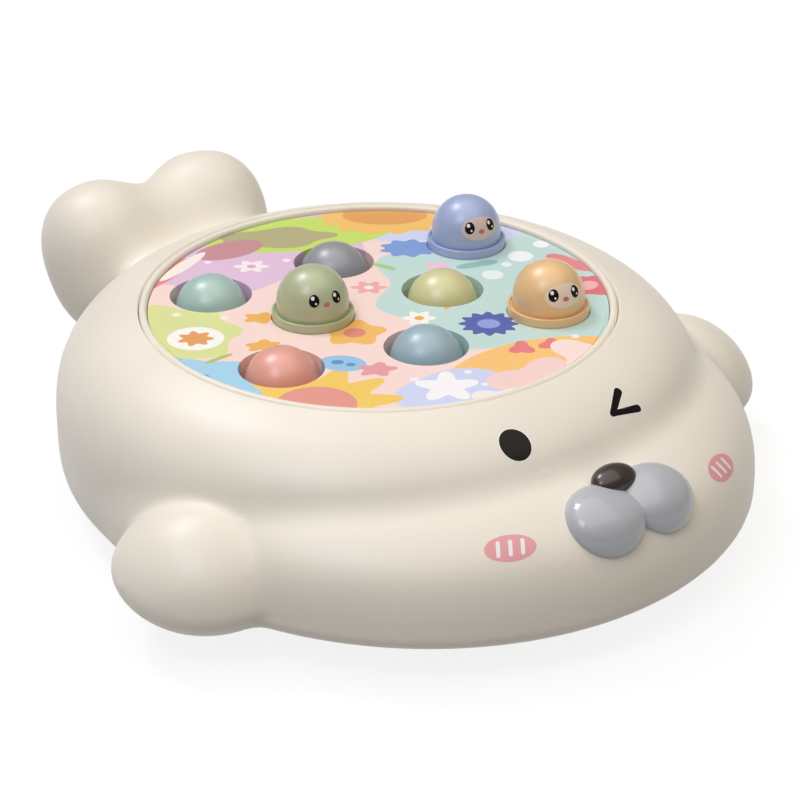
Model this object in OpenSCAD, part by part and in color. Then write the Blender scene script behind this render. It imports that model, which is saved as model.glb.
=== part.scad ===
// Whack-a-mole game for small children in the form of a seal pup.
// Millimetres. The origin lies on the ground under the middle of the play deck,
// the nose points along -Y, the tail along +Y and +Z is up.

/* [Upper body] */
// Radius of the round upper body
upper_r = 129; // [122:0.5:136]
// Height of the widest level of the upper body above the ground
upper_z = 32; // [28:0.5:38]
// Squareness of the upper body's side, 2 is an ellipse
upper_e = 3.3; // [2.6:0.1:4]
// Depth that the upper body's lower half would reach under the ground
upper_dip = 5.6; // [4:0.2:8]
// Rise of the body above the deck at the edge of the opening
rim_rise = 1.6; // [1:0.1:2.4]
// Wall of the moulded shell
wall = 3; // [2:0.25:4]

/* [Front roll] */
// Half width of the roll
roll_w = 132.4; // [126:0.2:138]
// Reach of the roll to the front of its middle
roll_front = 137.9; // [130:0.1:146]
// Reach of the roll to the back of its middle
roll_back = 99.6; // [90:0.2:106]
// Place of the roll's middle along Y
roll_y = -22; // [-28:0.5:-16]
// Height of the roll's widest level
roll_z = 21; // [18:0.5:25]
// Height of the roll above its widest level
roll_top = 48.3; // [44:0.1:52]
// Squareness of the roll's upper half
roll_top_e = 2.94; // [2.5:0.02:3.3]
// Squareness of the roll's lower half
roll_low_e = 2.1; // [2:0.05:2.6]
// Depth that the roll's lower half would reach under the ground
roll_dip = 2.6; // [1:0.2:5]
// Softness of the crease between upper body and roll
crease_soft = 6.2; // [3:0.1:10]

/* [Flippers] */
// Sideways place of a flipper's middle
flipper_x = 120.3; // [114:0.1:126]
// Place of a flipper's middle along Y
flipper_y = -49.1; // [-56:0.1:-42]
// Height of a flipper's middle
flipper_z = 28.2; // [27:0.1:32]
// Half length, half breadth, half height and lower half height of a flipper
flipper_size = [32.2, 35.3, 24.7, 22.2]; // [18:0.1:40]
// Turn of a flipper about the vertical, degrees
flipper_yaw = -49.8; // [-60:0.2:-40]
// Lean of a flipper to its side, degrees
flipper_lean = 8; // [0:0.5:16]
// Squareness of a flipper
flipper_e = 1.71; // [1.6:0.01:2.4]
// Softness of the joint between flipper and body
flipper_soft = 4.9; // [3:0.1:9]

/* [Tail] */
// Sideways place of a tail lobe's middle
lobe_x = 26.1; // [22:0.1:30]
// Place of a tail lobe's middle along Y
lobe_y = 155.6; // [148:0.1:162]
// Height of a tail lobe's middle
lobe_z = 51.8; // [46:0.1:58]
// Half sizes of a tail lobe
lobe_size = [27.1, 28.3, 34.4]; // [20:0.1:40]
// Turn, pitch and lean of a tail lobe, degrees
lobe_turn = [41.3, -10.3, 18.9]; // [-20:0.1:50]
// Squareness of a tail lobe
lobe_e = 2.31; // [2:0.01:2.6]
// Softness of the notch between the lobes
lobe_soft = 10; // [6:0.5:14]
// Place of the tail's root along Y
root_y = 155.4; // [148:0.1:162]
// Height of the tail's root
root_z = 44.7; // [40:0.1:50]
// Half sizes of the tail's root
root_size = [34.5, 25.6, 34.4]; // [20:0.1:40]
// Softness of the joint between tail and body
tail_soft = 18; // [12:0.5:24]

/* [Muzzle] */
// Place of the muzzle's middle along Y
muzzle_y = -145.3; // [-148:0.1:-140]
// Lean of the muzzle from flat, degrees
muzzle_lean = 42; // [34:1:50]
// Sideways place of a cheek's middle
cheek_x = 13; // [11:0.1:15]
// Half width and half height of a cheek
cheek_size = [16.6, 14.6]; // [12:0.1:18]
// How far a cheek stands out of the body
cheek_rise = 9; // [5:0.25:11]
// Place of the nose up the muzzle
nose_up = 10.5; // [8:0.1:12]
// Half width and half height of the nose
nose_size = [8.4, 6.2]; // [4:0.1:11]
// Height of the nose's rim over the body
nose_base = 3.2; // [2:0.1:5]
// Height of the nose's dome over its rim
nose_rise = 4.5; // [3:0.1:6]

/* [Deck] */
// Height of the play surface above the ground
deck_z = 80; // [76:0.5:86]
// Diameter of the printed film
print_d = 180; // [176:0.5:182]
// Thickness of the printed film
print_t = 0.3; // [0.2:0.05:0.5]
// Bare edge of the panel round the film
panel_edge = 1; // [0.5:0.1:2]
// Thickness of the panel
panel_t = 3; // [2:0.25:4]
// Width of the bead round the deck
bead_w = 3.1; // [2.4:0.1:4]
// Height of the bead's crest over the film
bead_rise = 2.4; // [1.6:0.1:3]
// Wall of the trim ring under the bead
ring_wall = 1.3; // [1:0.1:1.8]
// Ledge of the trim ring that the panel lies on
ledge_w = 1.8; // [1.2:0.1:2.2]
// Thickness of that ledge
ledge_t = 2.4; // [1.5:0.1:4]
// Turn of the hole pattern against the body, degrees
pattern_turn = -13.7; // [-20:0.1:-8]

/* [Moles] */
// Diameter of a mole hole and of its barrel
hole_d = 32.8; // [31:0.1:34]
// Wall of a barrel
barrel_wall = 1.6; // [1.2:0.1:2.2]
// Diameter of a mole's dome
dome_d = 28.4; // [26:0.1:30]
// Straight height of the dome over its collar
dome_skirt = 4; // [2:0.25:6]
// Height of the collar
collar_h = 5; // [4:0.25:6]
// Collar that shows over the deck when a mole is up
collar_show = 3; // [2:0.25:4]
// Travel of a mole
travel = 13.2; // [11:0.1:14.5]
// Wall of a mole cap
cap_wall = 1.8; // [1.4:0.1:2.4]
// Sideways and lengthways place of a corner mole
corner_at = [57, 35.5]; // [33:0.1:58]
// Place of a middle mole
middle_at = 42.8; // [42:0.1:44]
// Place of an inner mole
inner_at = 28.3; // [26:0.1:30]

/* [Stems, springs and latches] */
// Side of the square stem
stem_w = 6; // [5:0.25:6.25]
// Diameter of the stem's foot
stem_foot_d = 12; // [11:0.25:13]
// Thickness of the stem's foot
stem_foot_t = 2.5; // [2:0.1:3.5]
// Height of the stem in the cap's socket
socket_h = 13; // [10:0.25:15]
// Diameter of the cap's inner boss
boss_d = 15; // [14.5:0.25:18]
// Mean diameter of the spring
spring_d = 13; // [12.8:0.1:13.2]
// Spring wire
wire_d = 1; // [0.8:0.05:1.1]
// Turns of the spring
spring_turns = 6; // [5:1:7]
// Thickness of the guide plate
guide_t = 3; // [2.5:0.25:4]
// Height of a guide bush over the plate
bush_h = 4; // [2:0.25:6]
// Diameter of a guide bush
bush_d = 10.8; // [10.6:0.05:11]
// Thickness of a latch clip's leaf
leaf_t = 0.6; // [0.4:0.05:0.8]
// Width of a latch clip's leaf
leaf_w = 8; // [6:0.25:9]
// Length of the clip's tab on the guide plate
leaf_tab = 6; // [4:0.25:7]
// Reach of the clip's hook over the stem's foot
hook_reach = 1.5; // [1:0.1:2]

/* [Drive] */
// Gear module
gear_m = 1.5; // [1.4:0.05:1.5]
// Teeth of the trip wheel
wheel_teeth = 84; // [80:2:84]
// Teeth of the drive pinion
pinion_teeth = 14; // [14:2:16]
// Thickness of the trip wheel
wheel_t = 3; // [2.5:0.25:4]
// Height of a trip peg
peg_h = 2.5; // [2:0.1:3.5]
// Diameter of a trip peg
peg_d = 3.4; // [3:0.1:4]
// Diameter of the wheel's axle
axle_d = 4; // [3:0.25:5]
// Place of the motor round the deck, degrees in the hole pattern
motor_turn = 75; // [72:1:78]
// Width, breadth and length of the motor with its gearbox
motor_size = [12, 10, 24]; // [9:0.5:26]
// Diameter of the motor's shaft
shaft_d = 3; // [2:0.25:3.5]
// Sheet of the motor bracket
bracket_t = 1.2; // [0.8:0.1:1.6]

/* [Base and power] */
// Height of a rubber foot under the base
foot_h = 1.4; // [1:0.1:2]
// Diameter of a rubber foot
foot_d = 12; // [10:0.5:13]
// Thickness of the base's floor
floor_t = 2.6; // [2.4:0.1:3]
// Radius of the opening in the shell's underside
base_open_r = 92; // [90.5:0.25:94]
// Width of the base flange under the shell
flange_w = 6; // [4:0.25:7]
// Height of the base's spigot in that opening
spigot_h = 4; // [3:0.25:6]
// Radius of the circle of fixing posts
post_r = 84; // [83:0.25:85]
// Diameter of a fixing post
post_d = 10; // [9.5:0.25:10.5]
// Diameter of the case screws
screw_d = 3; // [2.5:0.1:3.2]
// Diameter of a battery cell
cell_d = 14.2; // [13.5:0.1:14.5]
// Length of a battery cell
cell_l = 50.5; // [44:0.25:51]
// Room for a contact at each end of a cell
contact_room = 3.5; // [3:0.1:4]
// Wall of the battery bay
bay_wall = 1.6; // [1.2:0.1:2]
// Middle of the battery bay along Y
bay_y = -42; // [-43:0.5:-41]
// Thickness of the battery door
door_t = 1.6; // [1.4:0.1:1.8]
// Diameter of the speaker
speaker_d = 40; // [36:0.5:42]
// Height of the speaker
speaker_h = 12; // [10:0.5:13]
// Middle of the speaker
speaker_at = [4, 45]; // [2:0.5:46]
// Width and length of the circuit board
board_size = [40, 34]; // [30:0.5:42]
// Middle of the circuit board
board_at = [-46, 30]; // [-48:0.5:32]
// Middle of the power switch
switch_at = [50, 8]; // [6:0.5:52]
// Travel of the power switch
switch_travel = 4; // [3:0.25:5]

/* [Fits] */
// Clearance all round a sliding or dropped-in piece
slide_fit = 0.3; // [0.2:0.05:0.4]
// Clearance of a turning pin in its bore
run_fit = 0.05; // [0.03:0.01:0.08]
// Clearance of pieces that pass over each other
pass_fit = 0.8; // [0.6:0.05:1]
// Clearance along an edge or a face that is made of short straights
facet_fit = 0.5; // [0.45:0.05:0.6]
// Clearance of a piece that lies on its seat
seat_fit = 0.1; // [0.05:0.01:0.15]

/* [Hidden] */
$fn = 64;
tiny = 1e-6;

// Moles: name, place in the hole pattern, whether up at rest, colour
moles = [
    ["teal", [-corner_at.x, corner_at.y], false, "#A9CFC4"],
    ["coral", [-corner_at.x, -corner_at.y], false, "#E09A88"],
    ["violet", [corner_at.x, corner_at.y], true, "#93A3CF"],
    ["orange", [corner_at.x, -corner_at.y], true, "#DDB070"],
    ["grey", [0, middle_at], false, "#96969C"],
    ["slate", [0, -middle_at], false, "#97B0BC"],
    ["green", [-inner_at, 0], true, "#AAAE80"],
    ["yellow", [inner_at, 0], false, "#D8D690"]
];
mole_nodes = [for (kind = ["mole_cap_", "mole_stem_", "mole_spring_"]) for (m = moles) str(kind, m[0])];

// Radii of the deck, from the film outwards
print_r = print_d / 2;
panel_r = print_r + panel_edge;
ring_in = panel_r + slide_fit;
open_r = ring_in + ring_wall + facet_fit;
bead_out = ring_in + bead_w;
rebate_r = bead_out + facet_fit;

// Levels of the deck
panel_top = deck_z - print_t;
panel_bot = panel_top - panel_t;
bead_z = deck_z + bead_rise - bead_w / 2;
rebate_z = bead_z - bead_w / 2 - 2 * seat_fit;
neck_z = panel_bot - 1;

// Levels of the base and of the drive, from the ground up
floor_top = foot_h + floor_t;
cell_fit = 0.4;
cell_z = foot_h + door_t + cell_fit + cell_d / 2;
bay_roof = foot_h + door_t + cell_d + 2 * cell_fit;
wheel_z = bay_roof + bay_wall + pass_fit;
wheel_top = wheel_z + wheel_t;
peg_top = wheel_top + peg_h;
stem_low = peg_top + pass_fit;
guide_bot = stem_low + stem_foot_t + travel + slide_fit;
guide_top = guide_bot + guide_t;

// A mole's level is that of its collar's top edge
mole_up = deck_z + collar_show;
mole_down = mole_up - travel;
barrel_bot = mole_down - collar_h - 2;
collar_d = hole_d - 2 * slide_fit;
stem_l = mole_down - collar_h + socket_h - seat_fit - stem_low;
hook_z = stem_low + stem_foot_t + slide_fit;
leaf_in = stem_foot_d / 2 + 2 * slide_fit;

// Body form: the upper body's top passes through the edge of the deck opening
upper_top = (deck_z + rim_rise - upper_z) / pow(1 - pow(rebate_r / upper_r, upper_e), 1 / upper_e);
upper_low = upper_z + upper_dip;
roll_low = roll_z + roll_dip;
seat_z = floor_top;
core_z = upper_z - 2;

// Unit axes of a piece that is turned, pitched and leaned, degrees
function about_x(v, a) = [v.x, v.y * cos(a) - v.z * sin(a), v.y * sin(a) + v.z * cos(a)];
function about_z(v, a) = [v.x * cos(a) - v.y * sin(a), v.x * sin(a) + v.y * cos(a), v.z];
function turned_axes(turn, pitch, lean) =
    [for (v = [[cos(lean), 0, -sin(lean)], [0, 1, 0], [sin(lean), 0, cos(lean)]])
        about_z(about_x(v, pitch), turn)];
flipper_axes = turned_axes(flipper_yaw, 0, flipper_lean);
lobe_axes = turned_axes(lobe_turn[0], lobe_turn[1], lobe_turn[2]);
function in_axes(p, axes) = [p * axes[0], p * axes[1], p * axes[2]];

// Distance, near enough, from a spheroid with squareness e in its upright sections
function spheroid(p, a, b, c, e) =
    let (u = p.x / a, v = p.y / b, w = abs(p.z) / c + tiny)
    let (r = norm([u, v]) + tiny)
    let (f = pow(pow(r, e) + pow(w, e), 1 / e))
    let (slope = norm([u / a, v / b]) / r)
    (f - 1) / (pow(f, 1 - e) * norm([pow(r, e - 1) * slope, pow(w, e - 1) / c]));

// Soft union of two distances
function soft_min(a, b, k) =
    let (h = min(max(0.5 + 0.5 * (b - a) / k, 0), 1))
    b * (1 - h) + a * h - k * h * (1 - h);

function upper_body(p) =
    let (q = p - [0, 0, upper_z])
    spheroid(q, upper_r, upper_r, q.z > 0 ? upper_top : upper_low, upper_e);
function front_roll(p) =
    let (q = p - [0, roll_y, roll_z], up = q.z > 0)
    spheroid(q, roll_w, q.y > 0 ? roll_back : roll_front, up ? roll_top : roll_low,
        up ? roll_top_e : roll_low_e);
function flipper(p) =
    let (q = in_axes([abs(p.x), p.y, p.z] - [flipper_x, flipper_y, flipper_z], flipper_axes))
    spheroid(q, flipper_size[0], flipper_size[1], q.z > 0 ? flipper_size[2] : flipper_size[3], flipper_e);
function tail_lobe(p) =
    let (q = in_axes(p - [lobe_x, lobe_y, lobe_z], lobe_axes))
    spheroid(q, lobe_size[0], lobe_size[1], lobe_size[2], lobe_e);
function tail_root(p) = spheroid(p - [0, root_y, root_z], root_size[0], root_size[1], root_size[2], 2);
function tail(p) =
    soft_min(soft_min(tail_lobe(p), tail_lobe([-p.x, p.y, p.z]), lobe_soft), tail_root(p), lobe_soft);

// Distance from the whole body; tail and flippers matter only near themselves
tail_from = 60;
flipper_from = 50;
function body(p) =
    let (trunk = soft_min(upper_body(p), front_roll(p), crease_soft))
    let (tailed = p.y < tail_from ? trunk : soft_min(trunk, tail(p), tail_soft))
    abs(p.x) < flipper_from ? tailed : soft_min(tailed, flipper(p), flipper_soft);

// Root of a function between two values where its sign changes
function root(f, a, fa, b, fb, tries) =
    let (t = (a * fb - b * fa) / (fb - fa), ft = f(t))
    tries == 0 || abs(ft) < 1e-4 ? t
    : ft * fb < 0 ? root(f, b, fb, t, ft, tries - 1)
    : root(f, a, fa / 2, t, ft, tries - 1);

// Place on the line from o along d where the body's distance is level
body_reach = 200;
function cast(o, d, level, far = body_reach) =
    let (f = function (t) body(o + t * d) - level)
    o + root(f, 0, f(0), far, f(far), 24) * d;

// The shell is a grid of columns that run from the nose (0) to the tail (1). Each column is
// first cast from a point inside the deck's circle, then the whole grid is eased until its
// points lie evenly on the body, flippers and tail too.
function column_heading(u) = lookup(u, [[0, -90], [0.2, -62], [0.5, 22], [0.7, 42], [1, 90]]);
function column_azimuth(u) = lookup(u, [[0, -90], [0.2, -40], [0.5, -10], [0.7, 68], [1, 90]]);
function column_start(u) =
    let (r = open_r * lookup(u, [[0, 0.65], [0.38, 0.81], [1, 0.9]]))
    [r * cos(column_azimuth(u)), r * sin(column_azimuth(u))];
function on_circle(o, d, r) = o + d * (sqrt((o * d) * (o * d) - o * o + r * r) - o * d);
function at_z(p, z) = [p.x, p.y, z];
half_columns = 60;
outer_rows = 28;
inner_rows = 14;
outer_rounds = 24;
inner_rounds = 12;

// Rows of one column, from the deck opening of radius r down to the flat underside
function cast_column(u, r, low, level, rows) =
    let (o = column_start(u), d = [cos(column_heading(u)), sin(column_heading(u))])
    let (top = cast(at_z(on_circle(o, d, r), deck_z - 20), [0, 0, 1], level, 40))
    let (corner = cast(at_z(o, low), [d.x, d.y, 0], level))
    let (rise = atan2(top.z - core_z, norm([top.x, top.y] - o)))
    let (fall = atan2(low - core_z, norm([corner.x, corner.y] - o)))
    [top, for (i = [1 : rows - 1])
        let (a = rise + (fall - rise) * i / rows)
        cast(at_z(o, core_z), [d.x * cos(a), d.y * cos(a), sin(a)], level), corner];

// One easing step of a point towards its neighbours, the farther ones more, and back on the body
function eased(p, around) =
    let (pull = [for (q = around) norm(q - p) + tiny])
    (p + pull * around / (pull * [for (q = around) 1])) / 2;
function settled(p, level, free) =
    let (f = body(p), h = 0.05)
    let (g = [for (i = [0 : 2]) free[i] * (body(p + h * axis_of(i)) - f) / h])
    p - (f - level) * g / max(g * g, 0.05);
function axis_of(i) = [i == 0 ? 1 : 0, i == 1 ? 1 : 0, i == 2 ? 1 : 0];
function mirrored(list) = [for (p = list) [-p.x, p.y, p.z]];
function eased_grid(g, level, rounds) =
    let (n = len(g) - 1, k = len(g[0]) - 1)
    rounds == 0 ? g : eased_grid([for (j = [0 : n])
        let (c = g[j], side = j > 0 && j < n ? 1 : 0)
        let (before = j > 0 ? g[j - 1] : mirrored(g[1]), after = j < n ? g[j + 1] : mirrored(g[n - 1]))
        [c[0],
            for (i = [1 : k - 1])
                settled(eased(c[i], [before[i], after[i], c[i - 1], c[i + 1]]), level, [side, 1, 1]),
            settled(eased(c[k], [before[k], after[k]]), level, [side, 1, 0])]],
        level, rounds - 1);
function wall_grid(r, low, level, rows, rounds) =
    let (first = [for (j = [0 : half_columns]) cast_column(j / half_columns, r, low, level, rows)])
    eased_grid(first, level, rounds);
function reversed(list) = [for (i = [len(list) - 1 : -1 : 0]) list[i]];
function to_radius(p, r, z) = at_z(r * [p.x, p.y] / norm([p.x, p.y]), z);

// Closed skin of columns that are rings themselves, with each square cut along its shorter diagonal
module closed_skin(columns) {
    n = len(columns);
    k = len(columns[0]);
    faces = [for (j = [0 : n - 1]) for (i = [0 : k - 1])
        let (next = (j + 1) % n, a = j * k + i, b = next * k + i)
        let (c = next * k + (i + 1) % k, d = j * k + (i + 1) % k)
        let (pa = columns[j][i], pb = columns[(j + 1) % n][i])
        let (pc = columns[(j + 1) % n][(i + 1) % k], pd = columns[j][(i + 1) % k])
        each norm(pa - pc) <= norm(pb - pd) ? [[a, b, c], [a, c, d]] : [[a, b, d], [b, c, d]]];
    polyhedron([for (column = columns) each column], faces);
}

// One-piece moulded body: round back, front roll, flippers and tail
module upper_shell() {
    outer = wall_grid(rebate_r, seat_z, 0, outer_rows, outer_rounds);
    inner = wall_grid(rebate_r + wall, seat_z + wall, -wall, inner_rows, inner_rounds);
    half = [for (j = [0 : half_columns]) concat(
        outer[j],
        [to_radius(outer[j][outer_rows], base_open_r, seat_z)],
        [to_radius(inner[j][inner_rows], base_open_r, seat_z + wall)],
        reversed(inner[j]),
        [for (z = [neck_z, rebate_z]) to_radius(outer[j][0], open_r, z)],
        [to_radius(outer[j][0], rebate_r, rebate_z)])];
    other = [for (j = [half_columns - 1 : -1 : 1]) mirrored(half[j])];
    color("#F3EBDD") closed_skin(concat(half, other));
}

module tube(r_out, r_in, z0, z1) {
    difference() {
        translate([0, 0, z0]) cylinder(r = r_out, h = z1 - z0);
        translate([0, 0, z0 - 1]) cylinder(r = r_in, h = z1 - z0 + 2);
    }
}

module rod(r, z0, z1) {
    translate([0, 0, z0]) cylinder(r = r, h = z1 - z0);
}

module block(size, at) {
    translate([at.x - size.x / 2, at.y - size.y / 2, at.z]) cube(size);
}

module in_pattern() {
    rotate([0, 0, pattern_turn]) children();
}

module at_moles() {
    in_pattern() for (m = moles) translate(m[1]) children();
}

// Fixing posts stand on a circle, six of them, starting on the pattern's own X axis
post_count = 6;
module at_posts() {
    in_pattern() for (i = [0 : post_count - 1]) rotate([0, 0, i * 360 / post_count]) translate([post_r, 0, 0])
        children();
}

// Bead round the deck, with the ledge that the panel lies on
module trim_ring() {
    color("#F3EBDD") {
        tube(open_r - facet_fit, ring_in, panel_bot - ledge_t, rebate_z + 0.5);
        tube(panel_r, panel_r - ledge_w, panel_bot - ledge_t, panel_bot - seat_fit);
        tube(open_r - facet_fit, panel_r - 0.5, panel_bot - ledge_t, panel_bot - seat_fit);
        tube(bead_out, ring_in, rebate_z + seat_fit, bead_z);
        rotate_extrude() translate([ring_in + bead_w / 2, bead_z]) circle(d = bead_w);
    }
}

// Deck with a barrel for each mole and the upper halves of the fixing posts
module deck_panel() {
    pilot_r = screw_d / 2 + run_fit;
    color("#F7F5F0") difference() {
        union() {
            rod(panel_r, panel_bot, panel_top);
            at_moles() rod(hole_d / 2 + barrel_wall, barrel_bot, panel_top - 1);
            at_posts() rod(post_d / 2, guide_top, panel_top - 1);
        }
        at_moles() rod(hole_d / 2, barrel_bot - 1, panel_top + 1);
        at_posts() rod(pilot_r, guide_top - 1, guide_top + screw_grip + 2);
    }
}

module deck_print() {
    color("#F6E3DC") difference() {
        rod(print_r, panel_top, deck_z);
        at_moles() rod(hole_d / 2, panel_top - 1, deck_z + 1);
    }
}

// Patch on the body, in its own frame: x sideways, y up the slope, z out of the body
muzzle_out = [0, -sin(muzzle_lean), cos(muzzle_lean)];
muzzle_slope = [0, cos(muzzle_lean), sin(muzzle_lean)];
cast_in = 30;
function muzzle_spot() = cast([0, muzzle_y, roll_z], [0, 0, 1], 0);
function on_body(spot, q) =
    cast(spot + [q.x, 0, 0] + q.y * muzzle_slope - cast_in * muzzle_out, muzzle_out, seat_fit, 2 * cast_in);

// Share of a dome's height at a point of an ellipse, and where a line from q leaves the ellipse
function dome_share(q, middle, size) =
    let (e = norm([(q.x - middle.x) / size.x, (q.y - middle.y) / size.y]))
    sqrt(max(0, 1 - e * e));
function ellipse_exit(d, middle, size) =
    let (u = [d.x / size.x, d.y / size.y], c = [-middle.x / size.x, -middle.y / size.y])
    let (k = u * c)
    (sqrt(k * k - (u * u) * (c * c - 1)) - k) / (u * u);
function muzzle_height(q) =
    cheek_rise * max([for (s = [-1, 1]) dome_share(q, [s * cheek_x, 0], cheek_size)]);
function muzzle_edge(d) = max([for (s = [-1, 1]) ellipse_exit(d, [s * cheek_x, 0], cheek_size)]);

// Closed blister: rings of points on its back and on its front that share their rim
module blister(back, front, sides) {
    rings = len(back);
    inner_back = [for (i = [0 : rings - 2]) each back[i]];
    points = concat(inner_back, [for (ring = front) each ring], [mean(back[0]), mean(front[0])]);
    front_at = (rings - 1) * sides;
    last = len(points) - 1;
    function ring(i) = i < rings - 1 ? i * sides : front_at + (2 * rings - 2 - i) * sides;
    polyhedron(points, concat(
        [for (j = [0 : sides - 1]) [last - 1, ring(0) + j, ring(0) + (j + 1) % sides]],
        [for (i = [0 : 2 * rings - 3]) for (j = [0 : sides - 1])
            let (a = ring(i) + j, b = ring(i) + (j + 1) % sides)
            let (c = ring(i + 1) + (j + 1) % sides, d = ring(i + 1) + j)
            each [[a, d, b], [b, d, c]]],
        [for (j = [0 : sides - 1]) [last, ring(2 * rings - 2) + (j + 1) % sides, ring(2 * rings - 2) + j]]
    ));
}
function mean(list) = [for (i = [0 : 2]) [for (p = list) p[i]] * [for (p = list) 1] / len(list)];
muzzle_sides = 44;
muzzle_rings = 7;
nose_sides = 28;
nose_rings = 5;
skin_t = 0.4;
function ring_share(i, rings) = sin(90 * (i + 1) / rings);

// Two glossy cheeks in one moulding that follows the roll
module muzzle() {
    spot = muzzle_spot();
    spread = [for (i = [0 : muzzle_rings - 1]) [for (j = [0 : muzzle_sides - 1])
        let (d = [cos(j * 360 / muzzle_sides), sin(j * 360 / muzzle_sides)])
        d * muzzle_edge(d) * ring_share(i, muzzle_rings)]];
    back = [for (ring = spread) [for (q = ring) on_body(spot, q)]];
    front = [for (i = [0 : muzzle_rings - 1]) [for (j = [0 : muzzle_sides - 1])
        back[i][j] + muzzle_out * (skin_t + muzzle_height(spread[i][j]))]];
    color("#B4B6BF") blister(back, front, muzzle_sides);
}

// Dark glossy nose in the upper end of the cleft between the cheeks
module nose() {
    spot = muzzle_spot();
    spread = [for (i = [0 : nose_rings - 1]) [for (j = [0 : nose_sides - 1])
        let (a = j * 360 / nose_sides)
        [0, nose_up] + ring_share(i, nose_rings) * [nose_size.x * cos(a), nose_size.y * sin(a)]]];
    function seat(q) = skin_t + facet_fit + muzzle_height(q);
    back = [for (ring = spread) [for (q = ring) on_body(spot, q) + muzzle_out * seat(q)]];
    front = [for (ring = spread) [for (q = ring) on_body(spot, q) + muzzle_out
        * max(seat(q) + skin_t, nose_base + nose_rise * dome_share(q, [0, nose_up], nose_size))]];
    color("#3A2E2D") blister(back, front, nose_sides);
}

// Places a mole's pieces: at its hole, turned so that its latch lies towards the deck's middle
module at_mole(m) {
    in_pattern() translate(m[1]) rotate([0, 0, atan2(m[1].y, m[1].x)]) children();
}
function mole_level(m) = m[2] ? mole_up : mole_down;

// Domed cap on a collar, hollow, with a boss that takes the stem
module mole_cap(m) {
    dome_r = dome_d / 2;
    edge = 1.2;
    socket = stem_w + 2 * run_fit;
    color(m[3]) at_mole(m) translate([0, 0, mole_level(m)]) difference() {
        union() {
            rod(dome_r, -collar_h, dome_skirt);
            translate([0, 0, dome_skirt]) sphere(r = dome_r);
            rod(collar_d / 2, -collar_h, -edge);
            rod(collar_d / 2 - edge, -edge - tiny, 0);
            rotate_extrude() translate([collar_d / 2 - edge, -edge]) circle(r = edge);
        }
        difference() {
            union() {
                rod(dome_r - cap_wall, -dome_r - 1, dome_skirt);
                translate([0, 0, dome_skirt]) sphere(r = dome_r - cap_wall);
            }
            rod(boss_d / 2, -collar_h, dome_skirt + dome_r);
        }
        translate([-socket / 2, -socket / 2, -collar_h - 1]) cube([socket, socket, socket_h + 1]);
    }
}

// Square stem with the round foot that stops it under the guide plate
module mole_stem(m) {
    color("#EDEDED") at_mole(m) translate([0, 0, mole_level(m) - mole_down + stem_low]) {
        rod(stem_foot_d / 2, 0, stem_foot_t);
        translate([-stem_w / 2, -stem_w / 2, 0]) cube([stem_w, stem_w, stem_l]);
    }
}

// Coil spring between guide plate and cap: one unbroken wire of six sides
wire_sides = 6;
rings_a_turn = 8;
function spring_point(length, i) =
    let (a = 360 * i / rings_a_turn, s = i / (rings_a_turn * spring_turns))
    [spring_d / 2 * cos(a), spring_d / 2 * sin(a), wire_d / 2 + (length - wire_d) * s];
module mole_spring(m) {
    length = mole_level(m) - collar_h - guide_top - 2 * seat_fit;
    count = rings_a_turn * spring_turns;
    rise = (length - wire_d) / spring_turns;
    lean = atan2(rise, PI * spring_d);
    rings = [for (i = [0 : count]) let (c = spring_point(length, i), a = 360 * i / rings_a_turn)
        [for (j = [0 : wire_sides - 1]) let (b = 360 * j / wire_sides, r = wire_d / 2)
            c + r * cos(b) * [cos(a), sin(a), 0]
                + r * sin(b) * [sin(a) * sin(lean), -cos(a) * sin(lean), cos(lean)]]];
    echo(spring = m[0], least_gap = rise * cos(lean) - wire_d);
    color("#B8BCC2") at_mole(m) translate([0, 0, guide_top + seat_fit]) polyhedron(
        [for (ring = rings) each ring],
        concat([[for (j = [wire_sides - 1 : -1 : 0]) j]],
            [for (i = [0 : count - 1]) for (j = [0 : wire_sides - 1])
                let (a = i * wire_sides + j, b = i * wire_sides + (j + 1) % wire_sides)
                each [[a, b, a + wire_sides], [b, b + wire_sides, a + wire_sides]]],
            [[for (j = [0 : wire_sides - 1]) count * wire_sides + j]]));
}

// Places round the drive: the motor stands where its pinion meets the trip wheel
gear_distance = gear_m * (wheel_teeth + pinion_teeth) / 2;
module at_motor() {
    in_pattern() rotate([0, 0, motor_turn]) translate([gear_distance, 0, 0]) children();
}
motor_z = wheel_top + 2;
motor_top = motor_z + motor_size[2];
bracket_foot = 7;
stake_d = 2.4;
stake_x = motor_size[0] / 2 + bracket_t + 1 + bracket_foot / 2;

// Plate that guides the stems, clamped between the two halves of the posts
module guide_plate() {
    color("#D9DCE0") difference() {
        union() {
            rod(post_r + post_d / 2 + 1, guide_bot, guide_top);
            at_moles() rod(bush_d / 2, guide_bot, guide_top + bush_h);
            at_motor() for (s = [-1, 1]) rotate([0, 0, 90]) translate([s * stake_x, 0, 0])
                rod(stake_d / 2, guide_bot, guide_top + 2 * bracket_t);
        }
        for (m = moles) at_mole(m) {
            hole = stem_w + 2 * slide_fit;
            translate([-hole / 2, -hole / 2, guide_bot - 1]) cube([hole, hole, guide_t + bush_h + 2]);
        }
        at_posts() rod(screw_d / 2 + slide_fit, guide_bot - 1, guide_top + 1);
        at_motor() rotate([0, 0, 90]) block(
            [motor_size[0] + 2 * slide_fit, motor_size[1] + 2 * slide_fit, guide_t + 2],
            [0, 0, guide_bot - 1]);
        rod(axle_d / 2 + run_fit, guide_bot - 1, guide_top + 1);
    }
}

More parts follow.
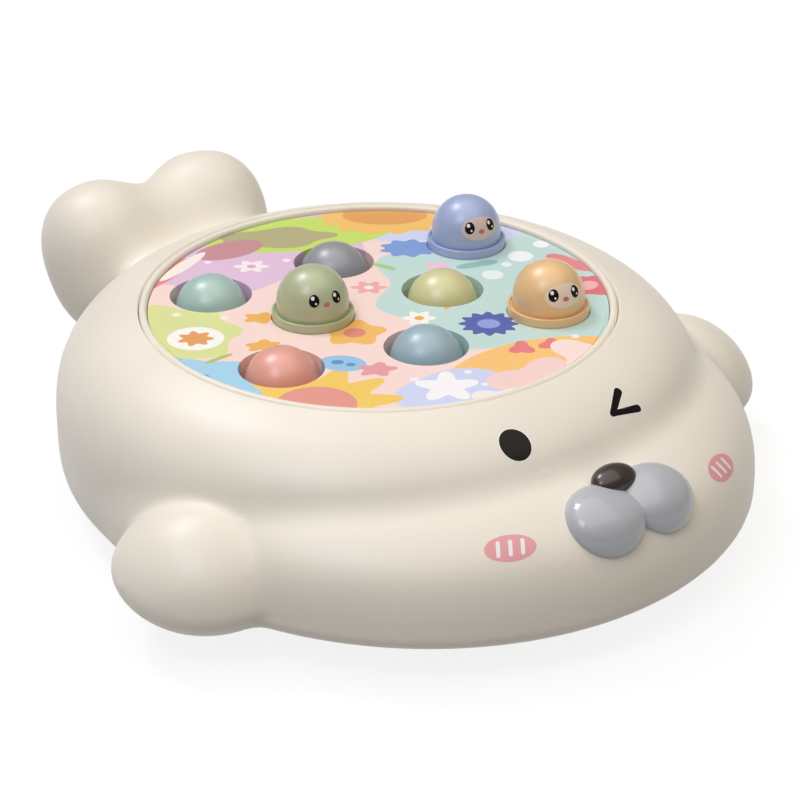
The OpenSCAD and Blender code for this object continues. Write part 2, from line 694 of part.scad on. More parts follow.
// Sprung steel clips, one for each mole: tab on the plate, leaf beside the stem, hook over its foot
module latch_clips() {
    tail_z = peg_top + slide_fit;
    color("#C9CDD2") for (m = moles) at_mole(m) {
        translate([-leaf_in - leaf_t, -leaf_w / 2, tail_z]) cube([leaf_t, leaf_w, guide_bot - tail_z]);
        translate([-leaf_in - leaf_tab, -leaf_w / 2, guide_bot - leaf_t]) cube([leaf_tab, leaf_w, leaf_t]);
        translate([-leaf_in - leaf_t, -leaf_w / 4, hook_z])
            cube([leaf_t + leaf_in - stem_foot_d / 2 + hook_reach, leaf_w / 2, leaf_t]);
    }
}

// Involute gear outline, with a short tip and a little play
tip_m = 0.8;
root_m = 1.15;
pressure = 20;
play = 0.25;
flank_steps = 3;
function involute(r, base) = let (a = acos(min(1, base / r))) tan(a) * 180 / PI - a;
function gear_outline(teeth) =
    let (r = gear_m * teeth / 2, base = r * cos(pressure))
    let (root = r - root_m * gear_m, tip = r + tip_m * gear_m, low = max(base, root))
    let (half = 90 / teeth - play / (4 * r) * 180 / PI + involute(r, base))
    let (flank = [for (i = [0 : flank_steps])
        let (q = low + (tip - low) * i / flank_steps)
        [q, half - involute(q, base)]])
    let (side = concat([[root, half - involute(low, base)]], flank))
    [for (t = [0 : teeth - 1]) let (a = 360 * t / teeth)
        each concat(
            [for (s = side) s[0] * [cos(a - s[1]), sin(a - s[1])]],
            [for (s = reversed(side)) s[0] * [cos(a + s[1]), sin(a + s[1])]])];

// Wheel whose pegs trip the clips of the inner, middle and corner moles in turn
module trip_wheel() {
    clip_in = leaf_in - leaf_t;
    mole_rings = [inner_at, middle_at, norm(corner_at)];
    hub_r = axle_d / 2 + 4;
    window_r = 11;
    window_at = (hub_r + gear_m * wheel_teeth / 2) / 2 + 3;
    color("#F2F2EE") in_pattern() rotate([0, 0, motor_turn]) difference() {
        union() {
            translate([0, 0, wheel_z]) linear_extrude(wheel_t) polygon(gear_outline(wheel_teeth));
            rod(hub_r, wheel_z + wheel_t / 2, peg_top);
            for (i = [0 : 2]) rotate([0, 0, 120 * i]) translate([mole_rings[i] - clip_in, 0, 0])
                rod(peg_d / 2, wheel_z + wheel_t / 2, peg_top);
        }
        rod(axle_d / 2 + run_fit, wheel_z - 1, peg_top + 1);
        for (i = [0 : 2]) rotate([0, 0, 60 + 120 * i]) translate([window_at, 0, 0])
            rod(window_r, wheel_z - 1, wheel_top + 1);
    }
}

module wheel_axle() {
    color("#B8BCC2") rod(axle_d / 2, axle_low, guide_top);
}
axle_low = 1;

// Pinion with its shaft, which turns in the gearbox
shaft_in = 4;
module drive_pinion() {
    color("#F2F2EE") at_motor() rotate([0, 0, 180 / pinion_teeth + motor_even]) {
        translate([0, 0, wheel_z]) linear_extrude(wheel_t + 0.5) polygon(gear_outline(pinion_teeth));
        rod(shaft_d / 2, wheel_z + wheel_t / 2, motor_z + shaft_in);
    }
}
motor_even = 180 * (pinion_teeth % 2) / pinion_teeth;

// Small sealed gear motor that hangs in the guide plate
module gear_motor() {
    gearbox_l = 9;
    color("#A7ABB0") at_motor() rotate([0, 0, 90]) difference() {
        union() {
            block([motor_size[0], motor_size[1], gearbox_l], [0, 0, motor_z]);
            intersection() {
                rod(motor_size[0] / 2, motor_z, motor_top);
                block(motor_size, [0, 0, motor_z]);
            }
        }
        rod(shaft_d / 2 + run_fit, motor_z - 1, motor_z + shaft_in + 0.5);
    }
}

// Strap over the motor, staked to the guide plate
module motor_bracket() {
    inner = motor_size[0] + 2;
    breadth = 8;
    color("#C9CDD2") at_motor() rotate([0, 0, 90]) difference() {
        union() {
            block([inner + 2 * bracket_t, breadth, bracket_t], [0, 0, motor_top]);
            for (s = [-1, 1]) {
                block([bracket_t, breadth, motor_top - guide_top],
                    [s * (inner + bracket_t) / 2, 0, guide_top]);
                block([bracket_foot, breadth, bracket_t], [s * stake_x, 0, guide_top]);
            }
        }
        for (s = [-1, 1]) translate([s * stake_x, 0, 0])
            rod(stake_d / 2 + run_fit, guide_top - 1, guide_top + bracket_t + 1);
    }
}

// Battery bay and door
cell_count = 3;
bay_in = [cell_l + 2 * contact_room, cell_count * (cell_d + cell_fit) + cell_fit];
door_ledge = 2;
door_ear = 9;
door_size = [bay_in.x + 2 * (bay_wall + door_ear), bay_in.y + 2 * door_ledge];
door_screw_x = bay_in.x / 2 + bay_wall + door_ear / 2 + 0.5;
door_screw_d = 2.6;
door_head_d = 5;
door_head_t = 1;
door_boss_h = 9;
screw_head_d = 5.6;
screw_head_t = 2.2;
screw_grip = 12;
well_r = screw_head_d / 2 + slide_fit;
well_top = guide_bot - 8;
module at_door_screws() {
    for (s = [-1, 1]) translate([s * door_screw_x, bay_y, 0]) children();
}

// Feet stand between the posts
foot_inlay = 1;
foot_r = base_open_r - foot_d / 2 - 1;
module at_feet() {
    in_pattern() for (a = [30, 150, 210, 330]) rotate([0, 0, a]) translate([foot_r, 0, 0]) children();
}
board_up = 4;
board_t = 1.6;
board_post_r = 2.5;
module at_board_corners() {
    inset = board_size / 2 - [3, 3];
    for (sx = [-1, 1]) for (sy = [-1, 1])
        translate([board_at.x + sx * inset.x, board_at.y + sy * inset.y, 0]) children();
}
speaker_seat = speaker_d / 2 + slide_fit;
seat_wall = 2;
seat_rise = 5;
grille_step = 5;
grille_d = 2.6;
switch_size = [22, 10, 7];
slider_plate = [8, 5, 1.6];
knob = [5, 3.6];
pad_r = 9;

// Underside of the body: flange under the shell, posts, battery bay, speaker seat
module base_cover() {
    color("#EFE7D8") difference() {
        union() {
            rod(base_open_r + flange_w, foot_h, floor_top);
            tube(base_open_r - slide_fit, base_open_r - slide_fit - 2, floor_top - 0.5, floor_top + spigot_h);
            rod(pad_r, 0, floor_top);
            rod(axle_d / 2 + 3, floor_top - 0.5, wheel_z - slide_fit);
            at_posts() rod(post_d / 2, floor_top - 0.5, guide_bot);
            block([bay_in.x + 2 * bay_wall, bay_in.y + 2 * bay_wall, bay_roof + bay_wall - foot_h],
                [0, bay_y, foot_h]);
            at_door_screws() rod(3.5, floor_top - 0.5, floor_top + door_boss_h);
            translate(speaker_at)
                tube(speaker_seat + seat_wall, speaker_seat, floor_top - 0.5, floor_top + seat_rise);
            at_board_corners() rod(board_post_r, floor_top - 0.5, floor_top + board_up);
            at_board_corners() rod(1, floor_top, floor_top + board_up + board_t + 1);
        }
        at_posts() rod(well_r, foot_h - 1, well_top);
        at_posts() rod(screw_d / 2 + slide_fit, foot_h, guide_bot + 1);
        block([bay_in.x, bay_in.y, bay_roof - foot_h + 1], [0, bay_y, foot_h - 1]);
        block([door_size.x + 2 * slide_fit, door_size.y + 2 * slide_fit, door_t + 1], [0, bay_y, foot_h - 1]);
        at_door_screws() rod(door_screw_d / 2 + run_fit, foot_h, floor_top + door_boss_h - 1);
        rod(axle_d / 2 + run_fit, axle_low, wheel_z);
        translate(speaker_at) for (ring = [0 : 2]) for (i = [0 : max(1, 6 * ring) - 1])
            rotate([0, 0, i * 360 / max(1, 6 * ring)]) translate([grille_step * ring, 0, 0])
                rod(grille_d / 2, foot_h - 1, floor_top + 1);
        block([knob.x + switch_travel + 2 * slide_fit, knob.y + 2 * slide_fit, floor_t + 2],
            [switch_at.x + switch_travel / 2, switch_at.y, foot_h - 1]);
        at_feet() rod(foot_d / 2 + run_fit, foot_h - 1, foot_h + foot_inlay);
    }
}

module battery_door() {
    color("#EFE7D8") difference() {
        union() {
            block([door_size.x, door_size.y, door_t], [0, bay_y, foot_h]);
            block([bay_in.x - 2 * slide_fit, 3, 0.4], [0, bay_y, foot_h + door_t - tiny]);
        }
        at_door_screws() rod(door_head_d / 2 + run_fit, foot_h - 1, foot_h + door_head_t);
        at_door_screws() rod(door_screw_d / 2 + run_fit, foot_h - 1, foot_h + door_t + 1);
    }
}

module door_screws() {
    color("#B8BCC2") at_door_screws() difference() {
        union() {
            rod(door_head_d / 2, foot_h, foot_h + door_head_t);
            rod(door_screw_d / 2, foot_h, floor_top + door_boss_h - 2);
        }
        cross_slot(door_head_d, foot_h, 0.6);
    }
}
module cross_slot(d, z, depth) {
    for (a = [0, 90]) rotate([0, 0, a]) block([d * 0.6, d * 0.16, depth + 1], [0, 0, z - 1]);
}

module at_cells() {
    for (i = [0 : cell_count - 1])
        translate([0, bay_y + (i - (cell_count - 1) / 2) * (cell_d + cell_fit), cell_z])
            rotate([0, i % 2 == 0 ? 90 : -90, 0]) children();
}
nub_l = 1.3;
module batteries() {
    color("#5C7F9A") at_cells() {
        rod(cell_d / 2, -cell_l / 2, cell_l / 2 - nub_l);
        rod(2.7, cell_l / 2 - nub_l - 0.2, cell_l / 2);
    }
}

// A plate with a dimple at a cell's plus end, and one with a wider spring stack at its minus end
module battery_contacts() {
    plate_t = 0.5;
    at_end = cell_l / 2 + contact_room - plate_t - run_fit;
    color("#C9CDD2") at_cells() {
        translate([-4.5, -4.5, at_end]) cube([9, 9, plate_t]);
        rod(2, cell_l / 2 + run_fit, at_end + 0.2);
        translate([-4.5, -4.5, -at_end - plate_t]) cube([9, 9, plate_t]);
        rod(3.4, -at_end - 0.2, -cell_l / 2 - run_fit);
    }
}

module speaker() {
    color("#4A4C50") translate([speaker_at.x, speaker_at.y, floor_top]) {
        tube(speaker_d / 2, speaker_d / 2 - 3, 0, 2);
        translate([0, 0, 1]) difference() {
            cylinder(r1 = speaker_d / 2 - 2, r2 = speaker_d / 4, h = speaker_h - 6);
            translate([0, 0, -1]) cylinder(r1 = speaker_d / 2 - 2, r2 = speaker_d / 4 - 1, h = speaker_h - 6);
        }
        rod(speaker_d / 4 + 1, speaker_h - 5.2, speaker_h);
    }
}

module circuit_board() {
    board_z = floor_top + board_up;
    chip = [10, 10, 2];
    plug = [10, 6, 6];
    color("#3E7A55") difference() {
        union() {
            block([board_size.x, board_size.y, board_t], at_z(board_at, board_z));
            block(chip, at_z(board_at, board_z + board_t - tiny));
            block(plug, at_z(board_at + [0, board_size.y / 2 - plug.y], board_z + board_t - tiny));
            translate(board_at + [board_size.x / 2 - 7, -4])
                rod(3, board_z + board_t - tiny, board_z + board_t + 7);
        }
        at_board_corners() rod(1 + run_fit, board_z - 1, board_z + board_t + 1);
    }
}

// Power switch: the body sits on the floor, the slider's knob is reached through a slot
module switch_body() {
    pocket = [slider_plate.x + switch_travel + 2 * slide_fit, slider_plate.y + 2 * slide_fit];
    color("#2F3136") difference() {
        block(switch_size, [switch_at.x + switch_travel / 2, switch_at.y, floor_top]);
        block([pocket.x, pocket.y, slider_plate.z + slide_fit + 1],
            [switch_at.x + switch_travel / 2, switch_at.y, floor_top - 1]);
    }
}
module switch_slider() {
    color("#D8503C") {
        block(slider_plate, at_z(switch_at, floor_top + 0.1));
        block([knob.x, knob.y, floor_top + 0.2 - foot_h - 0.4], at_z(switch_at, foot_h + 0.4));
    }
}

module rubber_feet() {
    color("#6A6C70") at_feet() rod(foot_d / 2, 0, foot_h + foot_inlay);
}

// Long screws that clamp base, guide plate and deck
module case_screws() {
    color("#B8BCC2") at_posts() difference() {
        union() {
            rod(screw_head_d / 2, well_top - screw_head_t, well_top);
            rod(screw_d / 2, well_top - 0.5, guide_top + screw_grip);
        }
        cross_slot(screw_head_d, well_top - screw_head_t, 1);
    }
}

upper_shell();
trim_ring();
deck_panel();
deck_print();
muzzle();
nose();
for (m = moles) mole_cap(m);
for (m = moles) mole_stem(m);
for (m = moles) mole_spring(m);
guide_plate();
latch_clips();
trip_wheel();
wheel_axle();
drive_pinion();
gear_motor();
motor_bracket();
base_cover();
battery_door();
door_screws();
batteries();
battery_contacts();
speaker();
circuit_board();
switch_body();
switch_slider();
rubber_feet();
case_screws();
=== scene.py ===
import math
import bmesh
import bpy
import numpy as np
from mathutils import Matrix, Vector


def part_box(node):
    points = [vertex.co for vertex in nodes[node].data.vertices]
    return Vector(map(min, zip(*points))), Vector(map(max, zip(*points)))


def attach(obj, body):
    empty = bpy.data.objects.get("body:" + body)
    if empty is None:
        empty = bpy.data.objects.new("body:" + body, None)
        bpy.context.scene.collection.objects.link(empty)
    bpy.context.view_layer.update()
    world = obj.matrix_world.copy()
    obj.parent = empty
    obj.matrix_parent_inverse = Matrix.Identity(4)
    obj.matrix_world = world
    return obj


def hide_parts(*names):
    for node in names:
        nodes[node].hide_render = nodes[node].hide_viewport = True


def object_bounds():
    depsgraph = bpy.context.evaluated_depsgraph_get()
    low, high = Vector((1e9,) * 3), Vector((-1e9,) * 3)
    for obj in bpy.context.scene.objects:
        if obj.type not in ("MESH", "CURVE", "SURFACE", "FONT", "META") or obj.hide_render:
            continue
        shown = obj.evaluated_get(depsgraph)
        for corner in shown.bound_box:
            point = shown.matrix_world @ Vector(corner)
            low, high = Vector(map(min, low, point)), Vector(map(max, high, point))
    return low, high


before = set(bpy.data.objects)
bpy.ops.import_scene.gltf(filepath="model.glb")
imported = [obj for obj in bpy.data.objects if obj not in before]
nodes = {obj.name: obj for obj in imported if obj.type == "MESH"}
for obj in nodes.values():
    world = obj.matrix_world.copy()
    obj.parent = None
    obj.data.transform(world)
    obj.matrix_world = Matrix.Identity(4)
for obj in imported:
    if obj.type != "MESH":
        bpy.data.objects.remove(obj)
cad_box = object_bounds()

# Base cover and battery door: the bottom of the toy, two warm white ABS mouldings. The cover
# carries the battery bay, the speaker seat and the screw posts and closes the body from below.
MM = 0.001
base_colour = "#E4DBCC"


def linear(code, share=1.0):
    """An sRGB hex colour as linear RGBA, darkened to a share of its light."""
    parts = [int(code[i:i + 2], 16) / 255 for i in (1, 3, 5)]
    return [share * (c / 12.92 if c <= 0.04045 else ((c + 0.055) / 1.055) ** 2.4) for c in parts] + [1]


def add(tree, kind, settings=None, links=None):
    """Adds a node with its settings, by property or input name, and its links, by input name."""
    made = tree.nodes.new("ShaderNode" + kind)
    for key, value in (settings or {}).items():
        if isinstance(key, str) and hasattr(made, key):
            setattr(made, key, value)
        else:
            made.inputs[key].default_value = value
    for key, socket in (links or {}).items():
        tree.links.new(socket, made.inputs[key])
    return made


def moulded(name, colour, ior, rough, grain, depth):
    """An opaque moulding: a through colour that drifts a little, and the grain of its mould."""
    material = bpy.data.materials.new(name)
    material.use_nodes = True
    tree = material.node_tree
    shader = tree.nodes["Principled BSDF"]
    shader.inputs["IOR"].default_value = ior
    place = add(tree, "TexCoord").outputs["Object"]
    drift = add(tree, "TexNoise", {"Scale": 1 / (40 * MM), "Detail": 3.0}, {"Vector": place})
    tone = add(tree, "Mix", {"data_type": "RGBA", 6: linear(colour, 0.95), 7: linear(colour, 1.04)},
               {0: drift.outputs[0]})
    gloss = add(tree, "MapRange", {"To Min": rough - 0.06, "To Max": rough + 0.06},
                {"Value": drift.outputs[0]})
    texture = add(tree, "TexNoise", {"Scale": 1 / (grain * MM), "Detail": 2.0}, {"Vector": place})
    relief = add(tree, "Bump", {"Strength": 0.3, "Distance": depth * MM}, {"Height": texture.outputs[0]})
    tree.links.new(tone.outputs[2], shader.inputs["Base Color"])
    tree.links.new(gloss.outputs[0], shader.inputs["Roughness"])
    tree.links.new(relief.outputs[0], shader.inputs["Normal"])
    return material


def dress(names, material):
    """Gives CAD nodes their material."""
    for name in names:
        for slot in nodes[name].material_slots:
            slot.material = material


# Spark-eroded ABS: satin, with a grain of about 0.8 mm that only shows where light grazes it.
base_abs = moulded("spark_eroded_abs_warm_white", base_colour, 1.53, 0.5, 0.8, 0.04)
dress(["base_cover", "battery_door"], base_abs)

# Rubber feet: four soft pads pressed into seats of the base cover.
# Moulded thermoplastic rubber, dull and faintly mottled.
foot_rubber = moulded("thermoplastic_rubber_grey", "#6A6865", 1.5, 0.82, 0.6, 0.05)
dress(["rubber_feet"], foot_rubber)

# Batteries: three AA cells that lie side by side in the bay.
# A steel can in a printed heat-shrunk jacket, plain, with a bare metal band at one end.
cell_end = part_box("batteries")[1][0]
band_l = 14.0
band_edge = 0.2
jacket = bpy.data.materials.new("heat_shrunk_pvc_jacket")
jacket.use_nodes = True
tree = jacket.node_tree
shader = tree.nodes["Principled BSDF"]
shader.inputs["IOR"].default_value = 1.53
place = add(tree, "TexCoord").outputs["Object"]
along = add(tree, "SeparateXYZ", {}, {0: place})
band = add(tree, "MapRange", {"From Min": cell_end - band_l * MM,
                              "From Max": cell_end - (band_l - band_edge) * MM}, {"Value": along.outputs[0]})
scuff = add(tree, "TexNoise", {"Scale": 1 / (5 * MM), "Detail": 4.0}, {"Vector": place})
body_tone = add(tree, "Mix", {"data_type": "RGBA", 6: linear("#23262B"), 7: linear("#30343B")},
                {0: scuff.outputs[0]})
cell_tone = add(tree, "Mix", {"data_type": "RGBA", 7: linear("#B9824C")},
                {0: band.outputs[0], 6: body_tone.outputs[2]})
cell_gloss = add(tree, "MapRange", {"To Min": 0.25, "To Max": 0.4}, {"Value": scuff.outputs[0]})
tree.links.new(cell_tone.outputs[2], shader.inputs["Base Color"])
tree.links.new(cell_gloss.outputs[0], shader.inputs["Roughness"])
dress(["batteries"], jacket)


# Contacts, screws, axle, springs, clips and bracket: the steel pieces of the toy.
# Drawn wire and pressed sheet, nickel plated, with fine draw lines along one way.
def steel(name, colour, rough, lines):
    """Plated steel whose draw lines run along one axis: lines gives their spacing in mm on X, Y, Z."""
    material = bpy.data.materials.new(name)
    material.use_nodes = True
    tree = material.node_tree
    shader = tree.nodes["Principled BSDF"]
    shader.inputs["Metallic"].default_value = 1.0
    place = add(tree, "TexCoord").outputs["Object"]
    stretch = add(tree, "Mapping", {"Scale": [1 / (k * MM) for k in lines]}, {"Vector": place})
    draw = add(tree, "TexNoise", {"Scale": 1.0, "Detail": 3.0}, {"Vector": stretch.outputs[0]})
    tone = add(tree, "Mix", {"data_type": "RGBA", 6: linear(colour, 0.82), 7: linear(colour)},
               {0: draw.outputs[0]})
    gloss = add(tree, "MapRange", {"To Min": rough - 0.08, "To Max": rough + 0.1},
                {"Value": draw.outputs[0]})
    relief = add(tree, "Bump", {"Strength": 0.2, "Distance": 0.02 * MM}, {"Height": draw.outputs[0]})
    tree.links.new(tone.outputs[2], shader.inputs["Base Color"])
    tree.links.new(gloss.outputs[0], shader.inputs["Roughness"])
    tree.links.new(relief.outputs[0], shader.inputs["Normal"])
    return material


nickel = steel("nickel_plated_sheet", "#C9C6BE", 0.3, (6, 0.4, 0.4))
dress(["battery_contacts", "latch_clips", "motor_bracket"], nickel)
zinc = steel("zinc_plated_screw", "#AEB2B8", 0.38, (0.5, 0.5, 3))
dress(["door_screws", "case_screws"], zinc)
ground_pin = steel("ground_steel_pin", "#BFC3C8", 0.22, (0.4, 0.4, 8))
dress(["wheel_axle"], ground_pin)
motor_can = steel("deep_drawn_motor_can", "#A9ADB2", 0.32, (0.5, 0.5, 9))
dress(["gear_motor"], motor_can)
spring_wire = steel("hard_drawn_spring_wire", "#B4B8BE", 0.28, (0.3, 0.3, 1.5))
dress([name for name in nodes if name.startswith("mole_spring_")], spring_wire)

# Speaker: a small paper-cone driver with a dark steel basket, clipped into a ring of the base.
# The cone has pressed rings, drawn about its own middle.
speaker_low, speaker_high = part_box("speaker")
cone = bpy.data.materials.new("pressed_paper_cone")
cone.use_nodes = True
tree = cone.node_tree
shader = tree.nodes["Principled BSDF"]
shader.inputs["IOR"].default_value = 1.5
place = add(tree, "TexCoord").outputs["Object"]
middle = [(speaker_low[0] + speaker_high[0]) / 2, (speaker_low[1] + speaker_high[1]) / 2, speaker_low[2]]
centred = add(tree, "Mapping", {"Location": [-v for v in middle]}, {"Vector": place})
rings = add(tree, "TexWave", {"wave_type": "RINGS", "rings_direction": "Z", "Scale": 1 / (12 * MM)},
            {"Vector": centred.outputs[0]})
fibre = add(tree, "TexNoise", {"Scale": 1 / (0.7 * MM), "Detail": 3.0}, {"Vector": place})
paper_tone = add(tree, "Mix", {"data_type": "RGBA", 6: linear("#222224"), 7: linear("#3A3A3C")},
                 {0: fibre.outputs[0]})
height = add(tree, "Math", {"operation": "ADD"}, {0: rings.outputs["Fac"], 1: fibre.outputs[0]})
relief = add(tree, "Bump", {"Strength": 0.4, "Distance": 0.2 * MM}, {"Height": height.outputs[0]})
shader.inputs["Roughness"].default_value = 0.75
tree.links.new(paper_tone.outputs[2], shader.inputs["Base Color"])
tree.links.new(relief.outputs[0], shader.inputs["Normal"])
dress(["speaker"], cone)

# Circuit board: glass-epoxy sheet with green solder mask on four pegs of the base cover.
# Paler lines under the mask are the copper tracks.
board = bpy.data.materials.new("solder_mask_green")
board.use_nodes = True
tree = board.node_tree
shader = tree.nodes["Principled BSDF"]
shader.inputs["IOR"].default_value = 1.5
shader.inputs["Roughness"].default_value = 0.3
place = add(tree, "TexCoord").outputs["Object"]
tracks = add(tree, "TexBrick", {"Scale": 1 / (9 * MM), "Mortar Size": 0.035, "Color1": linear("#1F5A3A"),
                                "Color2": linear("#1B5034"), "Mortar": linear("#3E8A5C")}, {"Vector": place})
relief = add(tree, "Bump", {"Strength": 0.3, "Distance": 0.05 * MM}, {"Height": tracks.outputs[1]})
tree.links.new(tracks.outputs[0], shader.inputs["Base Color"])
tree.links.new(relief.outputs[0], shader.inputs["Normal"])
dress(["circuit_board"], board)

# Power switch: a black slide switch in the floor with a red slider that is pushed from below.
# Glass-filled nylon body, glossy ABS slider.
dress(["switch_body"], moulded("glass_filled_nylon_black", "#202124", 1.53, 0.55, 0.5, 0.05))
dress(["switch_slider"], moulded("gloss_abs_red", "#C2312B", 1.53, 0.28, 0.9, 0.01))

# Drive: the motor's pinion turns the trip wheel, whose pegs free the moles in turn.
# Both gears are moulded in white acetal, which is slick and slightly translucent.
acetal = moulded("acetal_white", "#EDEDE8", 1.48, 0.34, 1.2, 0.02)
dress(["trip_wheel", "drive_pinion"], acetal)

# Guide plate: a plate under the deck that guides the stems and carries latches and motor.
# Grey ABS, fixed between the deck's posts and the base's posts by the case screws.
dress(["guide_plate"], moulded("spark_eroded_abs_grey", "#B9BBBD", 1.53, 0.48, 0.9, 0.04))

# Mole stems: eight square stems that slide in the guide plate, each with a foot for its latch.
# Moulded in the same white acetal as the gears, so they run without grease.
dress([name for name in nodes if name.startswith("mole_stem_")], acetal)

# Mole caps: eight domes on a collar, each moulded in its own colour of satin ABS and pressed on
# its stem. The collar slides in the deck's barrel, and the stem's foot stops under the guide plate.
dome_r = 14.2
dome_steps = 96
dome_skirt = 3.5
collar_r = 16.1
collar_in = 15.0
collar_h = 5.5
collar_edge = 0.35
groove_d = 0.7
cap_wall = 1.8
sharp_from = math.radians(35)
mole_colours = {
    "teal": "#ABC8C1", "coral": "#E9A191", "violet": "#A4B2DA", "orange": "#EDC288",
    "grey": "#93949C", "slate": "#9AB5C2", "green": "#B5BD95", "yellow": "#D6D098",
}
# Half the cap's section from the dome's edge out over the groove and collar and back inside.
cap_section = [
    (dome_r, -dome_skirt - groove_d), (collar_in, -dome_skirt - groove_d), (collar_in, -dome_skirt),
    (collar_r, -dome_skirt), (collar_r, -dome_skirt - collar_h),
    (collar_r - cap_wall, -dome_skirt - collar_h), (collar_r - cap_wall, -dome_skirt - groove_d - cap_wall),
    (dome_r - cap_wall, -dome_skirt - groove_d - cap_wall), (dome_r - cap_wall, 0),
]


def piece(name, bm, materials, body):
    """Makes a mesh piece from a bmesh in millimetres, smooth, with its sharp edges kept."""
    mesh = bpy.data.meshes.new(name)
    bmesh.ops.scale(bm, vec=(MM, MM, MM), verts=bm.verts)
    bm.to_mesh(mesh)
    bm.free()
    for material in materials:
        mesh.materials.append(material)
    mesh.shade_smooth()
    mesh.set_sharp_from_angle(angle=sharp_from)
    made = bpy.data.objects.new(name, mesh)
    bpy.context.scene.collection.objects.link(made)
    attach(made, body)
    return made


def open_edges(bm):
    """The edges round a mesh's openings."""
    return [e for e in bm.edges if e.is_boundary]


cap_centre = {}
for mole, colour in mole_colours.items():
    low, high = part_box("mole_cap_" + mole)
    cap_centre[mole] = Vector(((low[0] + high[0]) / 2, (low[1] + high[1]) / 2, high[2])) / MM
    cap_centre[mole].z -= dome_r
    bm = bmesh.new()
    bmesh.ops.create_uvsphere(bm, u_segments=dome_steps, v_segments=dome_steps // 2, radius=dome_r)
    bmesh.ops.bisect_plane(bm, geom=bm.verts[:] + bm.edges[:] + bm.faces[:], plane_co=(0, 0, 0),
                           plane_no=(0, 0, 1), clear_inner=True)
    at_r, at_z = dome_r, 0
    for r, z in cap_section:
        grown = bmesh.ops.extrude_edge_only(bm, edges=open_edges(bm))["geom"]
        rim = [v for v in grown if isinstance(v, bmesh.types.BMVert)]
        bmesh.ops.scale(bm, vec=(r / at_r, r / at_r, 1), verts=rim)
        bmesh.ops.translate(bm, vec=(0, 0, z - at_z), verts=rim)
        at_r, at_z = r, z
    inner = bmesh.ops.create_uvsphere(bm, u_segments=dome_steps, v_segments=dome_steps // 2,
                                      radius=dome_r - cap_wall)["verts"]
    below = [v for v in inner if v.co.z < -0.01]
    bmesh.ops.delete(bm, geom=below, context="VERTS")
    bmesh.ops.remove_doubles(bm, verts=bm.verts, dist=0.001)
    top_edges = [e for e in bm.edges if all(abs(v.co.z + dome_skirt) < 0.01 for v in e.verts)
                 and abs(e.verts[0].co.xy.length - e.verts[1].co.xy.length) < 0.01]
    bmesh.ops.bevel(bm, geom=top_edges, offset=collar_edge, offset_type="OFFSET", affect="EDGES", segments=4,
                    profile=0.5, material=-1)
    bmesh.ops.recalc_face_normals(bm, faces=bm.faces)
    bmesh.ops.translate(bm, vec=cap_centre[mole], verts=bm.verts)
    # Satin ABS under a matt lacquer: a soft broad highlight and almost no grain.
    satin = moulded("satin_abs_" + mole, colour, 1.53, 0.4, 1.0, 0.015)
    shader = satin.node_tree.nodes["Principled BSDF"]
    shader.inputs["Coat Weight"].default_value = 1.0
    shader.inputs["Coat Roughness"].default_value = 0.33
    cap = piece("mole_dome_" + mole, bm, [satin], "mole_" + mole)
    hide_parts("mole_cap_" + mole)

# Mole faces: plain animal faces of two eyes and a nose, pad printed on each dome.
# Thin gloss ink in layers: a pale patch on some, then dark, then a pale glint in each eye.
face_heading = math.radians(-103.7)
face_up = 4.9
face_up_raised = 9.0
raised = ("violet", "orange", "green")
patch_half = (9.0, 4.9)
patch_drop = 0.3
mole_eye_x = 5.2
mole_eye_rise = 0.3
mole_eye_half = (2.2, 2.5)
# Each glint: how far beside and above the face's line it lies, and half its size.
glints = ((-0.6, 1.3, 0.8), (0.7, -0.8, 0.42))
mole_nose_drop = 1.6
mole_nose_half = (1.35, 0.95)
ink_t = 0.03
spot_steps = 40
spot_rings = 8
spot_ring_w = 0.115
face_patch = {"violet": "#DCC3BD", "orange": "#F0D9C4"}
ink_dark = moulded("pad_print_ink_dark", "#110706", 1.3, 0.3, 1.0, 0.01)
ink_pale = moulded("pad_print_ink_white", "#F6F3F0", 1.5, 0.32, 1.0, 0.01)
ink_rose = moulded("pad_print_ink_rose", "#C9726E", 1.5, 0.32, 1.0, 0.01)


def spot(bm, x, y, half_x, half_y, layer, index, length=0.0, turn=0.0, taper=1.0):
    """Adds a turned flat oval at x, y and a layer's height, or a stroke if it is pulled out by a length.

    A stroke's near end is its far end's width times taper.
    """
    flat = bmesh.new()
    bmesh.ops.create_circle(flat, cap_ends=True, radius=1.0, segments=spot_steps)
    centre = flat.faces[:]
    for _ in range(spot_rings):
        bmesh.ops.inset_region(flat, faces=centre, thickness=spot_ring_w, use_boundary=True,
                               use_even_offset=True)
    bmesh.ops.scale(flat, vec=(half_x, half_y, 1), verts=flat.verts)
    if length:
        for v in flat.verts:
            near = math.copysign(1, v.co.x) < 0
            v.co.xy *= taper if near else 1
            v.co.x += -length / 2 if near else length / 2
        sides = [e for e in flat.edges if e.calc_length() > length * 0.9]
        bmesh.ops.subdivide_edges(flat, edges=sides, cuts=max(1, round(length)), use_grid_fill=True)
    place = Matrix.Translation((x, y, layer)) @ Matrix.Rotation(turn, 4, "Z")
    bmesh.ops.transform(flat, matrix=place, verts=flat.verts)
    for face in flat.faces:
        face.material_index = index
    mesh = bpy.data.meshes.new("spot")
    flat.to_mesh(mesh)
    flat.free()
    bm.from_mesh(mesh)
    bpy.data.meshes.remove(mesh)


